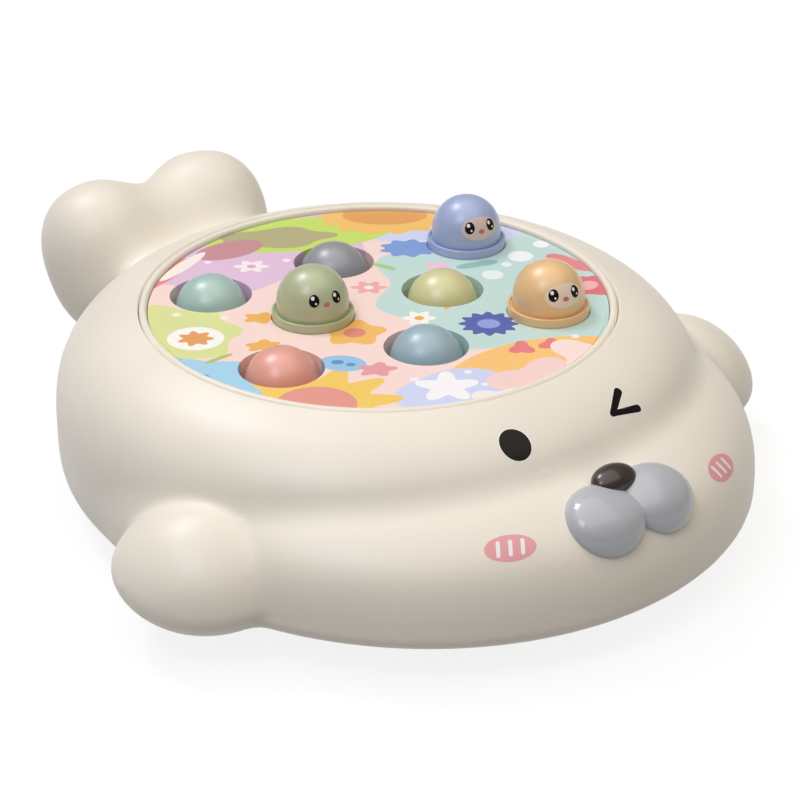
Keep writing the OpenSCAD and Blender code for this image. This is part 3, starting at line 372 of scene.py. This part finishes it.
for mole, centre in cap_centre.items():
    up = face_up_raised if mole in raised else face_up
    inks = [ink_dark, ink_pale, ink_rose]
    bm = bmesh.new()
    if mole in face_patch:
        inks.append(moulded("pad_print_ink_patch_" + mole, face_patch[mole], 1.5, 0.34, 1.0, 0.01))
        spot(bm, 0, up - patch_drop, *patch_half, ink_t, 3)
    for eye_x in (-mole_eye_x, mole_eye_x):
        spot(bm, eye_x, up + mole_eye_rise, *mole_eye_half, 2 * ink_t, 0)
        for beside, above, half in glints:
            spot(bm, eye_x + beside, up + above, half, half, 3 * ink_t, 1)
    spot(bm, 0, up - mole_nose_drop, *mole_nose_half, 2 * ink_t, 2)
    for v in bm.verts:
        turn, rise, r = face_heading + v.co.x / dome_r, v.co.y - dome_skirt, dome_r + v.co.z
        lean = max(0.0, rise) / dome_r
        v.co = centre + Vector((r * math.cos(lean) * math.cos(turn), r * math.cos(lean) * math.sin(turn),
                                min(rise, 0) + r * math.sin(lean)))
    piece("mole_face_" + mole, bm, inks, "mole_" + mole)

# Deck panel and print: a white ABS disc with a barrel for each mole, held from below by the case
# screws, and a film with plain garden shapes, clouds, blossoms, leaves and suns on it. The film is
# screen-printed polyester with a satin lacquer, moulded on, so its print runs into the holes.
print_low = 66.0
print_fade = 4.0
print_turn = math.radians(-39.4)
print_ground = "#FADDD5"
barrel_white = "#F1EEE8"
mottle_w = 0.6
film = bpy.data.materials.new("screen_printed_film")
film.use_nodes = True
lobed = bpy.data.node_groups.new("lobed_shape", "ShaderNodeTree")
lobed.interface.new_socket("Vector", in_out="INPUT", socket_type="NodeSocketVector")
lobed.interface.new_socket("Lobes", in_out="INPUT", socket_type="NodeSocketFloat")
lobed.interface.new_socket("Depth", in_out="INPUT", socket_type="NodeSocketFloat")
lobed.interface.new_socket("Mask", in_out="OUTPUT", socket_type="NodeSocketFloat")
given = lobed.nodes.new("NodeGroupInput")
result = lobed.nodes.new("NodeGroupOutput")
split = add(lobed, "SeparateXYZ", {}, {0: given.outputs["Vector"]})
angle = add(lobed, "Math", {"operation": "ARCTAN2"}, {0: split.outputs[1], 1: split.outputs[0]})
turns = add(lobed, "Math", {"operation": "MULTIPLY"}, {0: angle.outputs[0], 1: given.outputs["Lobes"]})
wave = add(lobed, "Math", {"operation": "COSINE"}, {0: turns.outputs[0]})
edge = add(lobed, "Math", {"operation": "MULTIPLY_ADD", 2: 1.0},
           {0: wave.outputs[0], 1: given.outputs["Depth"]})
reach = add(lobed, "VectorMath", {"operation": "LENGTH"}, {0: given.outputs["Vector"]})
inside = add(lobed, "Math", {"operation": "GREATER_THAN"}, {0: edge.outputs[0], 1: reach.outputs["Value"]})
lobed.links.new(inside.outputs[0], result.inputs["Mask"])
# Each shape: place across and up the deck as seen from the front left, half sizes, turn in
# degrees, lobes, depth of the lobes, colour.
shapes = [
    (-62, 62, 62, 50, 20, 7, 0.08, "#E5C3E0"), (66, 18, 66, 62, 0, 9, 0.07, "#C4DFDA"),
    (26, 84, 46, 26, 0, 6, 0.1, "#D3DAF5"), (68, -66, 46, 34, 24, 0, 0, "#FBC777"),
    (-84, -30, 30, 26, 10, 8, 0.08, "#DDE39A"), (-62, -72, 34, 22, -20, 5, 0.1, "#A8D6EE"),
    (34, -80, 26, 22, 0, 4, 0.06, "#D2D8F5"), (-34, 66, 40, 17, 12, 0, 0, "#C9E36A"),
    (-44, 62, 24, 10, 8, 5, 0.12, "#B7B083"), (-62, 50, 15, 8, 30, 0, 0, "#CB9097"),
    (2, 84, 27, 17, 0, 14, 0.07, "#F8C56C"), (2, 86, 18, 10, 0, 0, 0, "#E7A45A"),
    (-22, -86, 27, 25, 9, 11, 0.2, "#F6CE63"), (-22, -86, 15, 14, 0, 0, 0, "#E79A8E"),
    (12, 52, 11, 8, 0, 9, 0.12, "#7F9FDB"), (43, -19, 10.5, 9.5, 0, 12, 0.12, "#5563AF"),
    (43, -19, 4.5, 4, 0, 0, 0, "#93A3E0"), (-9, -27, 11, 10, 15, 5, 0.16, "#F7BE62"),
    (-9, -27, 4.4, 4, 15, 0, 0, "#E58B7A"), (-13, -53, 9, 6.5, -12, 0, 0, "#9AC8EA"),
    (-15, -52, 2.4, 1.8, 0, 0, 0, "#5E93CF"), (-10, -54, 1.8, 1.4, 0, 0, 0, "#5E93CF"),
    (16, -14, 5.4, 5.4, 0, 6, 0.24, "#FBF7F2"), (16, -14, 1.9, 1.9, 0, 0, 0, "#F0B14E"),
    (55, -40, 5, 4.4, 90, 3, 0.26, "#E77E83"), (66, -37, 4.4, 3.9, 80, 3, 0.26, "#E77E83"),
    (60, -66, 15, 15, 66, 3, 0.3, "#F8D4D0"), (80, -46, 13, 13, 18, 3, 0.3, "#FBE3DD"),
    (46, -82, 9, 9, 40, 3, 0.3, "#F6EFE9"), (26, -72, 9.5, 9.5, 20, 5, 0.3, "#FBF7FA"),
    (84, 16, 12, 9, 50, 4, 0.22, "#E2747C"), (84, 16, 4.6, 3.6, 50, 0, 0, "#F3B7B4"),
    (78, 38, 9, 5.5, -40, 2, 0.3, "#E88A8E"), (58, 44, 5.2, 5.2, 0, 0, 0, "#F4FAFA"),
    (67, 56, 3.4, 3.4, 0, 0, 0, "#F4FAFA"), (46, 26, 4.4, 4.4, 0, 0, 0, "#EAF5F6"),
    (52, 36, 2.2, 2.2, 0, 0, 0, "#EAF5F6"), (40, 36, 7, 3.4, 20, 2, 0.3, "#8FC0B5"),
    (-88, 26, 18, 6, 60, 0, 0, "#E98F8B"), (-80, 34, 16, 3, 60, 0, 0, "#FBF1EA"),
    (-70, -32, 11, 10, 0, 0, 0, "#FBFAF4"), (-70, -32, 6, 5.5, 0, 7, 0.2, "#EBA25F"),
    (-46, -14, 6, 4.4, 0, 5, 0.2, "#F2B55B"), (-44, -38, 6, 4.2, 20, 5, 0.2, "#F2B55B"),
    (-34, 12, 5, 2.2, 30, 2, 0.3, "#E9A85A"), (-4, 14, 6, 5, 0, 6, 0.24, "#F3AFAE"),
    (-4, 14, 2, 1.7, 0, 0, 0, "#FBF1EA"), (2, 34, 4.4, 2.2, -30, 2, 0.3, "#A9CF8E"),
    (-68, -66, 6, 3, 30, 0, 0, "#6FA8DB"), (-54, -80, 5, 2.6, 0, 0, 0, "#6FA8DB"),
    (0, -58, 6.5, 5, 10, 5, 0.22, "#EBA0A8"), (-52, 34, 6, 5, 0, 6, 0.24, "#FBEFF4"),
    (-52, 34, 1.9, 1.6, 0, 0, 0, "#E7A6C7"), (24, 34, 4.6, 4, 0, 5, 0.2, "#F3C6D6"),
    (-76, 14, 2.2, 2.2, 0, 0, 0, "#F9EAF6"), (-38, 40, 1.7, 1.7, 0, 0, 0, "#F9EAF6"),
    (-70, 38, 1.5, 1.5, 0, 0, 0, "#F9EAF6"), (-20, 47, 3.4, 3, 0, 5, 0.2, "#F4D98A"),
    (64, -4, 4.8, 4.2, 0, 6, 0.24, "#FBF7F2"), (64, -4, 1.6, 1.4, 0, 0, 0, "#F0B14E"),
    (74, 4, 1.7, 1.7, 0, 0, 0, "#EAF5F6"), (54, -6, 1.5, 1.5, 0, 0, 0, "#EAF5F6"),
    (28, -2, 3.6, 1.5, 70, 2, 0.3, "#F2B55B"), (-79, -11, 1.8, 1.8, 0, 0, 0, "#F4F6D8"),
    (-60, -14, 1.4, 1.4, 0, 0, 0, "#F4F6D8"), (-60, -49, 5, 1.5, 40, 2, 0.3, "#B9C46C"),
    (-30, 26, 2.6, 2.6, 0, 5, 0.2, "#F3AFAE"), (10, -40, 1.8, 1.8, 0, 0, 0, "#F3B7B4"),
    (22, -47, 3.8, 3.2, 0, 6, 0.24, "#F6B8BC"), (-30, -60, 1.7, 1.7, 0, 0, 0, "#F2B55B"),
    (76, -30, 1.6, 1.6, 0, 0, 0, "#EAF5F6"), (34, -60, 1.6, 1.6, 0, 0, 0, "#F4F2FB"),
    (14, -66, 1.8, 1.8, 0, 0, 0, "#F4F2FB"), (40, -70, 1.4, 1.4, 0, 0, 0, "#F4F2FB"),
]
tree = film.node_tree
shader = tree.nodes["Principled BSDF"]
shader.inputs["IOR"].default_value = 1.57
place = add(tree, "TexCoord").outputs["Object"]
sheet = add(tree, "Mapping", {"Rotation": (0, 0, -print_turn), "Scale": (1 / MM, 1 / MM, 0)},
            {"Vector": place}).outputs[0]
colour = None
for across, upward, half_x, half_y, turn, lobes, depth, code in shapes:
    local = add(tree, "Mapping", {"vector_type": "TEXTURE", "Location": (across, upward, 0),
                                  "Rotation": (0, 0, math.radians(turn)), "Scale": (half_x, half_y, 1)},
                {"Vector": sheet})
    mask = add(tree, "Group", {"node_tree": lobed, "Lobes": lobes, "Depth": depth},
               {"Vector": local.outputs[0]})
    laid = add(tree, "Mix", {"data_type": "RGBA", 6: linear(print_ground), 7: linear(code)},
               {0: mask.outputs[0]})
    if colour:
        tree.links.new(colour, laid.inputs[6])
    colour = laid.outputs[2]
# Lacquer: the screen's dots are too fine to show, so a 0.6 mm mottle stands for them.
mottle = add(tree, "TexNoise", {"Scale": 1 / (mottle_w * MM), "Detail": 2.0}, {"Vector": place})
inked = add(tree, "Mix", {"data_type": "RGBA", "blend_type": "MULTIPLY", 0: 0.05},
            {6: colour, 7: mottle.outputs[1]})
gloss = add(tree, "MapRange", {"To Min": 0.3, "To Max": 0.42}, {"Value": mottle.outputs[0]})
level = add(tree, "SeparateXYZ", {}, {0: place})
printed = add(tree, "MapRange", {"From Min": print_low * MM, "From Max": (print_low + print_fade) * MM},
              {"Value": level.outputs[2]})
shown = add(tree, "Mix", {"data_type": "RGBA", 6: linear(barrel_white)},
            {0: printed.outputs[0], 7: inked.outputs[2]})
tree.links.new(shown.outputs[2], shader.inputs["Base Color"])
tree.links.new(gloss.outputs[0], shader.inputs["Roughness"])
dress(["deck_panel", "deck_print"], film)

# Upper shell: the whole body of the seal pup in one moulding, upper body, front roll, flippers
# and tail. Cream ABS with a satin finish, dropped over the deck's ring and screwed from below.
cream = "#EEE6D8"
deck_z = 80.0
rim_rise = 1.6
rebate_r = 94.9
foot_z = 4.0
# The body's forms: each has a middle, half sizes, a squareness and the softness of its crease.
# Upper body, whose top meets the deck's rim.
upper_z = 32.0
upper_r = 129.0
upper_down = 37.6
upper_square = 3.3
rim_share = (1 - (rebate_r / upper_r) ** upper_square) ** (1 / upper_square)
upper_up = (deck_z + rim_rise - upper_z) / rim_share
# Front roll, which carries the face and runs round to the back.
roll_mid = (0, -22.0, 21.0)
roll_side = 132.4
roll_back = 99.6
roll_front = 137.9
roll_up = 48.3
roll_down = 23.6
roll_square_up = 2.94
roll_square_down = 2.1
roll_crease = 4.4
# Tail: two leaning lobes on a root.
lobe_mid = (26.1, 155.6, 51.8)
lobe_turns = (41.3, -10.3, 18.9)
lobe_half = (27.1, 28.3, 34.4)
lobe_square = 2.31
lobe_crease = 6.0
root_mid = (0, 155.4, 44.7)
root_half = (34.5, 25.6, 34.4)
root_square = 2
root_crease = 10
tail_from = 60
tail_crease = 18
tail_tip = 170.0
# Flippers, one on each side.
flipper_from = 50
flipper_mid = (120.3, -49.1, 28.2)
flipper_turns = (-49.8, 0, 8)
flipper_half = (32.2, 35.3)
flipper_up = 24.7
flipper_down = 22.2
flipper_square = 1.71
flipper_crease = 3.4
flipper_tip = 140.0
# How finely the skin is cut, and how it is settled on the forms.
skin_cuts = 3
probe = 0.05
settle_rounds = 8
least_slope = 0.05
# The CAD's creases are softer by up to this much, so its skin lies this near to the form.
skin_near = 1.2


def swell(p, a, b, c, e):
    """About how far points lie outside a rounded form with half sizes a, b, c and squareness e."""
    u, v, w = p[:, 0] / a, p[:, 1] / b, np.abs(p[:, 2]) / c + 1e-6
    r = np.hypot(u, v) + 1e-6
    f = (r ** e + w ** e) ** (1 / e)
    tilt = np.hypot(u / a, v / b) / r
    return (f - 1) / (f ** (1 - e) * np.hypot(r ** (e - 1) * tilt, w ** (e - 1) / c))


def soft_join(a, b, k):
    """Joins two forms with a soft crease of about k."""
    h = np.clip(0.5 + 0.5 * (b - a) / k, 0, 1)
    return b * (1 - h) + a * h - k * h * (1 - h)


def turned(p, centre, turn, pitch, lean):
    """Points in the axes of a form that is leaned, pitched and turned about its centre."""
    axes = (Matrix.Rotation(math.radians(turn), 3, "Z") @ Matrix.Rotation(math.radians(pitch), 3, "X")
            @ Matrix.Rotation(math.radians(lean), 3, "Y"))
    return (p - np.array(centre)) @ np.array(axes)


def body(p):
    """About how far points lie outside the seal's body, in millimetres."""
    q = p - np.array((0, 0, upper_z))
    upper = swell(q, upper_r, upper_r, np.where(q[:, 2] > 0, upper_up, upper_down), upper_square)
    q = p - np.array(roll_mid)
    roll = swell(q, roll_side, np.where(q[:, 1] > 0, roll_back, roll_front),
                 np.where(q[:, 2] > 0, roll_up, roll_down),
                 np.where(q[:, 2] > 0, roll_square_up, roll_square_down))
    trunk = soft_join(upper, roll, roll_crease)
    mirrored = p * np.array((-1, 1, 1))
    lobes = [swell(turned(s, lobe_mid, *lobe_turns), *lobe_half, lobe_square) for s in (p, mirrored)]
    root = swell(p - np.array(root_mid), *root_half, root_square)
    tail = soft_join(soft_join(lobes[0], lobes[1], lobe_crease), root, root_crease)
    trunk = np.where(p[:, 1] >= tail_from, soft_join(trunk, tail, tail_crease), trunk)
    near = p.copy()
    near[:, 0] = np.abs(near[:, 0])
    q = turned(near, flipper_mid, *flipper_turns)
    flipper = swell(q, *flipper_half, np.where(q[:, 2] > 0, flipper_up, flipper_down), flipper_square)
    return np.where(near[:, 0] >= flipper_from, soft_join(trunk, flipper, flipper_crease), trunk)


def slope(p):
    """The way out of the body at points."""
    return np.stack([(body(p + s) - body(p - s)) / (2 * probe) for s in probe * np.eye(3)], axis=1)


def settle(p, level=0.0, free=1.0):
    """Moves points on to the body, or to a level over it, along the ways that are free."""
    for _ in range(settle_rounds):
        g = slope(p) * free
        p = p - ((body(p) - level) / np.maximum((g * g).sum(1), least_slope))[:, None] * g
    return p


bm = bmesh.new()
bm.from_mesh(nodes["upper_shell"].data)
bmesh.ops.scale(bm, vec=(1 / MM, 1 / MM, 1 / MM), verts=bm.verts)
bmesh.ops.remove_doubles(bm, verts=bm.verts, dist=0.001)
on_skin = np.abs(body(np.array([v.co for v in bm.verts]))) < skin_near
skin = [f for f in bm.faces if all(on_skin[v.index] for v in f.verts)]
bmesh.ops.join_triangles(bm, faces=skin, angle_face_threshold=math.radians(40),
                         angle_shape_threshold=math.radians(60))
on_skin = np.abs(body(np.array([v.co for v in bm.verts]))) < skin_near
skin = [f for f in bm.faces if all(on_skin[v.index] for v in f.verts)]
cut = bmesh.ops.subdivide_edges(bm, edges=list({e for f in skin for e in f.edges}), cuts=skin_cuts,
                                use_grid_fill=True)
fresh = {g for g in cut["geom"] if isinstance(g, bmesh.types.BMVert)}
moved = list(fresh | {v for f in skin if f.is_valid for v in f.verts})
at = np.array([v.co for v in moved])
radius = np.hypot(at[:, 0], at[:, 1])
rim = (np.abs(radius - rebate_r) < 0.3) & (at[:, 2] > deck_z)
at[rim, :2] *= (rebate_r / radius[rim])[:, None]
foot = np.abs(at[:, 2] - foot_z) < 0.02
free = np.ones((len(at), 3))
free[rim, :2] = 0
free[foot, 2] = 0
at = settle(at, 0.0, free)
# The CAD's flippers and tail are a little flat between their points; the tips keep to its box.
for axis, start, limit in ((0, flipper_tip, cad_box[1][0] / MM), (1, tail_tip, cad_box[1][1] / MM)):
    out = np.abs(at[:, axis])
    tip = (out > start) & ((axis == 0) | (at[:, 1] > 0))
    squeezed = start + (out[tip] - start) * (limit - start) / (out[tip].max() - start)
    at[tip, axis] = np.copysign(squeezed, at[tip, axis])
for v, co in zip(moved, at):
    v.co = co
bmesh.ops.recalc_face_normals(bm, faces=bm.faces)
# Satin ABS in cream: broad soft highlights, a grain that shows only up close.
shell_abs = moulded("satin_abs_cream", cream, 1.53, 0.42, 0.9, 0.015)
shell = piece("seal_shell", bm, [shell_abs], "case")
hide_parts("upper_shell")

# Trim ring: a bead that covers the joint of shell and deck, in the shell's cream ABS.
# It is clamped between the shell's rebate and the deck panel, which lies on its ledge.
ring_in = 91.3
ring_steps = 240
bead_w = 3.0
bead_z = 80.35
bead_steps = 32
ledge_in = 89.2
ledge_top = 76.6
ledge_bot = 74.3
bm = bmesh.new()
bmesh.ops.create_circle(bm, cap_ends=False, radius=bead_w / 2, segments=bead_steps)
bmesh.ops.rotate(bm, cent=(0, 0, 0), matrix=Matrix.Rotation(math.pi / 2, 3, "X"), verts=bm.verts)
inner_quarter = [v for v in bm.verts if v.co.x < -0.01 and v.co.z < -0.01]
bmesh.ops.delete(bm, geom=inner_quarter, context="VERTS")
bmesh.ops.translate(bm, vec=(ring_in + bead_w / 2, 0, bead_z), verts=bm.verts)
arc_ends = sorted((v for v in bm.verts if len(v.link_edges) == 1), key=lambda v: v.co.x)
ledge = [bm.verts.new((x, 0, z)) for x, z in ((ring_in, ledge_top), (ledge_in, ledge_top),
                                              (ledge_in, ledge_bot), (arc_ends[1].co.x, ledge_bot))]
outline = [arc_ends[0], *ledge, arc_ends[1]]
for near, far in zip(outline, outline[1:]):
    bm.edges.new((near, far))
bmesh.ops.spin(bm, geom=bm.verts[:] + bm.edges[:], cent=(0, 0, 0), axis=(0, 0, 1), dvec=(0, 0, 0),
               angle=2 * math.pi, steps=ring_steps, use_merge=True)
bmesh.ops.remove_doubles(bm, verts=bm.verts, dist=0.001)
bmesh.ops.recalc_face_normals(bm, faces=bm.faces)
ring = piece("deck_bead", bm, [shell_abs], "case")
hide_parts("trim_ring")

# Muzzle: two glossy grey cheeks in one moulding, which snaps on to the front roll.
# ABS with a clear lacquer, which shows the lamps as small sharp windows over a soft sheen.
clear_coat = 0.6
muzzle_lean = math.radians(42)
muzzle_out = np.array((0, -math.sin(muzzle_lean), math.cos(muzzle_lean)))
muzzle_slope = np.array((0, math.cos(muzzle_lean), math.sin(muzzle_lean)))
cheek_x = 12.8
cheek_half = (15.6, 14.45, 7.0)
cheek_full = 2.25
cheek_up = -0.5
nose_up = 12.3
nose_dip = 0.45
nose_dip_r = 10.0
skin_t = 0.5
root_t = 1.2
muzzle_start = (0, -145.3, 52.0)
muzzle_spot = settle(np.array([muzzle_start]), 0.0, np.array((0, 0, 1.0)))[0]


def on_roll(local):
    """Points given across, up and out of the muzzle's patch of the front roll, on the body."""
    flat = muzzle_spot + local[:, :1] * np.array((1.0, 0, 0)) + local[:, 1:2] * muzzle_slope
    for _ in range(12):
        flat = flat - (body(flat) / (slope(flat) @ muzzle_out))[:, None] * muzzle_out
    return flat + local[:, 2:] * muzzle_out


bm = bmesh.new()
bmesh.ops.create_uvsphere(bm, u_segments=96, v_segments=64, radius=1.0)
for v in bm.verts:
    v.co.z = math.copysign((1 - min(1, v.co.xy.length) ** cheek_full) ** (1 / cheek_full), v.co.z)
bmesh.ops.scale(bm, vec=cheek_half, verts=bm.verts)
bmesh.ops.translate(bm, vec=(cheek_x, cheek_up, 0), verts=bm.verts)
for way in ((1, 0, 0), (0, 0, 1)):
    bmesh.ops.bisect_plane(bm, geom=bm.verts[:] + bm.edges[:] + bm.faces[:], plane_co=(0, 0, 0),
                           plane_no=way, clear_inner=True)
bmesh.ops.mirror(bm, geom=bm.verts[:] + bm.edges[:] + bm.faces[:], axis="X", merge_dist=0.001)
bmesh.ops.remove_doubles(bm, verts=bm.verts, dist=0.001)
# A shallow dish at the upper end of the cleft takes the nose.
for v in bm.verts:
    v.co.z *= 1 - nose_dip * math.exp(-(v.co.x ** 2 + (v.co.y - nose_up) ** 2) / nose_dip_r ** 2)
bmesh.ops.translate(bm, vec=(0, 0, skin_t), verts=bm.verts)
grown = bmesh.ops.extrude_edge_only(bm, edges=open_edges(bm))["geom"]
root = [v for v in grown if isinstance(v, bmesh.types.BMVert)]
bmesh.ops.translate(bm, vec=(0, 0, -root_t), verts=root)
bmesh.ops.holes_fill(bm, edges=open_edges(bm), sides=0)
bmesh.ops.recalc_face_normals(bm, faces=bm.faces)
for v, co in zip(bm.verts, on_roll(np.array([v.co for v in bm.verts]))):
    v.co = co
gloss_grey = moulded("gloss_abs_grey", "#B6B8BE", 1.53, 0.42, 2.0, 0.004)
gloss_grey.node_tree.nodes["Principled BSDF"].inputs["Coat Weight"].default_value = clear_coat
cheeks = piece("seal_muzzle", bm, [gloss_grey], "case")
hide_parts("muzzle")

# Nose: a dark glossy button in the upper end of the cleft between the cheeks.
# Brown ABS under the same clear lacquer, pressed into the muzzle.
nose_half = (9.7, 6.7, 5.0)
nose_lean = math.radians(17)
nose_spot = (0, -135.6, 59.1)
bm = bmesh.new()
bmesh.ops.create_uvsphere(bm, u_segments=72, v_segments=48, radius=1.0)
bmesh.ops.scale(bm, vec=nose_half, verts=bm.verts)
bmesh.ops.rotate(bm, cent=(0, 0, 0), matrix=Matrix.Rotation(nose_lean, 3, "X"), verts=bm.verts)
bmesh.ops.translate(bm, vec=nose_spot, verts=bm.verts)
gloss_brown = moulded("gloss_abs_brown", "#2A1312", 1.53, 0.42, 2.0, 0.004)
gloss_brown.node_tree.nodes["Principled BSDF"].inputs["Coat Weight"].default_value = clear_coat
button = piece("seal_nose", bm, [gloss_brown], "case")
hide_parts("nose")

# Face print: an open eye, a winking eye and two blushes on the front roll.
# Pad-printed ink on the shell, slightly glossier than the satin round it.
ink_blush = moulded("pad_print_ink_blush", "#EAA2A7", 1.5, 0.36, 1.0, 0.01)


def print_on_body(name, bm, centre, materials):
    """Lays a flat print on the body: x across, y up the slope, z over the surface."""
    middle = settle(np.array([centre], dtype=float))
    out = slope(middle)[0]
    out /= np.linalg.norm(out)
    across = np.array((1.0, 0, 0)) - out[0] * out
    across /= np.linalg.norm(across)
    upward = np.cross(out, across)
    flat = np.array([v.co for v in bm.verts])
    laid = settle(middle + flat[:, :1] * across + flat[:, 1:2] * upward)
    out = slope(laid)
    laid += flat[:, 2:] * out / np.linalg.norm(out, axis=1)[:, None]
    for v, co in zip(bm.verts, laid):
        v.co = co
    piece(name, bm, materials, "case")


# Eye and wink: a pale margin first, then the dark ink over it.
print_edge = 0.4
print_layers = ((print_edge, ink_t, 1), (0, 2 * ink_t, 0))
eye_spot = (-26.5, -111.3, 72.5)
eye_half = (5.95, 6.65)
bm = bmesh.new()
for margin, layer, ink in print_layers:
    spot(bm, 0, 0, eye_half[0] + margin, eye_half[1] + margin, layer, ink)
print_on_body("seal_eye", bm, eye_spot, [ink_dark, ink_pale])
wink_spot = (17.8, -115.1, 70.9)
wink_corner = Vector((0.9, 0.45))
# Each arm: where it ends, and half its width there.
wink_arms = ((Vector((10.3, 8.2)), 1.75), (Vector((14.5, -0.8)), 1.6))
wink_taper = 0.72
arm_step = 0.01
bm = bmesh.new()
for margin, layer, ink in print_layers:
    for end, half in wink_arms:
        arm, middle = end - wink_corner, (end + wink_corner) / 2
        spot(bm, middle.x, middle.y, half + margin, half + margin, layer, ink, arm.length,
             math.atan2(arm.y, arm.x), wink_taper)
        layer += arm_step
print_on_body("seal_wink", bm, wink_spot, [ink_dark, ink_pale])
# Blushes: a rose oval with three pale bars across it.
blush_half = (9.65, 5.13)
bar_half = 0.75
bar_l = 4.8
bar_step = 4.54
for side, centre, turn, bar_turn in (("left", (-50.8, -136.7, 50.2), -20.0, 61.0),
                                     ("right", (52.6, -139.6, 47.1), 11.5, 118.5)):
    turn = math.radians(turn)
    bm = bmesh.new()
    spot(bm, 0, 0, *blush_half, ink_t, 0, turn=turn)
    for step in (-bar_step, 0, bar_step):
        spot(bm, step * math.cos(turn), step * math.sin(turn), bar_half, bar_half, 2 * ink_t, 1, bar_l,
             math.radians(bar_turn))
    print_on_body("seal_blush_" + side, bm, centre, [ink_blush, ink_pale])

# Floor and light: a pale studio floor, a key lamp high behind the toy, a broad ceiling, a window on
# the left and an even white room. What the camera sees of the floor is white, with a faint shadow.
floor_half = 6.0
floor_share = 0.36
shadow_share = 0.16
floor_glow = 0.86
room_level = 0.27
room_tone = (1.0, 0.98, 0.94, 1)
white = (1, 1, 1, 1)
look_at = Vector((0, 0, 0.05))
bm = bmesh.new()
bmesh.ops.create_grid(bm, x_segments=2, y_segments=2, size=floor_half)
floor_mesh = bpy.data.meshes.new("studio_floor")
bm.to_mesh(floor_mesh)
bm.free()
floor = bpy.data.objects.new("studio_floor", floor_mesh)
bpy.context.scene.collection.objects.link(floor)
paper = bpy.data.materials.new("studio_paper")
paper.use_nodes = True
tree = paper.node_tree
tree.nodes.remove(tree.nodes["Principled BSDF"])
rays = add(tree, "LightPath")
seen = add(tree, "Math", {"operation": "MAXIMUM"}, {0: rays.outputs["Is Camera Ray"],
                                                    1: rays.outputs["Is Glossy Ray"]})
seen = add(tree, "Math", {"operation": "MAXIMUM"}, {0: seen.outputs[0],
                                                    1: rays.outputs["Is Transmission Ray"]})
plain = add(tree, "BsdfDiffuse", {"Color": [floor_share] * 3 + [1]})
shade = add(tree, "BsdfDiffuse", {"Color": [shadow_share] * 3 + [1]})
glow = add(tree, "Emission", {"Color": white, "Strength": floor_glow})
bright = add(tree, "AddShader", {}, {0: shade.outputs[0], 1: glow.outputs[0]})
mixed = add(tree, "MixShader", {}, {0: seen.outputs[0], 1: plain.outputs[0], 2: bright.outputs[0]})
tree.links.new(mixed.outputs[0], tree.nodes["Material Output"].inputs["Surface"])
floor_mesh.materials.append(paper)

room = bpy.data.worlds.new("white_room")
room.use_nodes = True
bpy.context.scene.world = room
tree = room.node_tree
by_camera = add(tree, "LightPath").outputs["Is Camera Ray"]
level = add(tree, "MapRange", {"To Min": room_level, "To Max": 1.0}, {"Value": by_camera})
tone = add(tree, "Mix", {"data_type": "RGBA", 6: room_tone, 7: white}, {0: by_camera})
tree.links.new(tone.outputs[2], tree.nodes["Background"].inputs["Color"])
tree.links.new(level.outputs[0], tree.nodes["Background"].inputs["Strength"])


def lamp(name, place, size, power, tint):
    """A square soft lamp that looks at the middle of the toy."""
    data = bpy.data.lights.new(name, "AREA")
    data.size = size
    data.energy = power
    data.color = linear(tint)[:3]
    made = bpy.data.objects.new(name, data)
    made.location = place
    made.rotation_euler = (look_at - Vector(place)).to_track_quat("-Z", "Y").to_euler()
    bpy.context.scene.collection.objects.link(made)


lamp("key_lamp", (-0.48, 2.60, 4.21), 1.2, 77.0, "#F3F5FF")
lamp("ceiling_lamp", (0.0, -0.2, 2.4), 3.0, 37.5, "#FFF8EA")
lamp("window_lamp", (-0.92, -0.27, 1.28), 0.5, 5.0, "#E2EAFF")

# Camera: about 1 m off to the front left of the nose, looking down on the deck at 28 degrees.
# A long lens, as in a catalogue picture, so the near side hardly grows.
eye = bpy.data.cameras.new("camera")
eye.lens = 113.72
eye.sensor_width = 36
camera = bpy.data.objects.new("camera", eye)
right = Vector((0.77292, -0.63450, 0))
upward = Vector((0.29605, 0.36063, 0.88448))
back = right.cross(upward)
camera.matrix_world = Matrix.Translation((-0.56556, -0.70238, 0.51211)) @ Matrix(
    (right, upward, back)).transposed().to_4x4()
bpy.context.scene.collection.objects.link(camera)
bpy.context.scene.camera = camera
bpy.context.scene.view_settings.view_transform = "Standard"
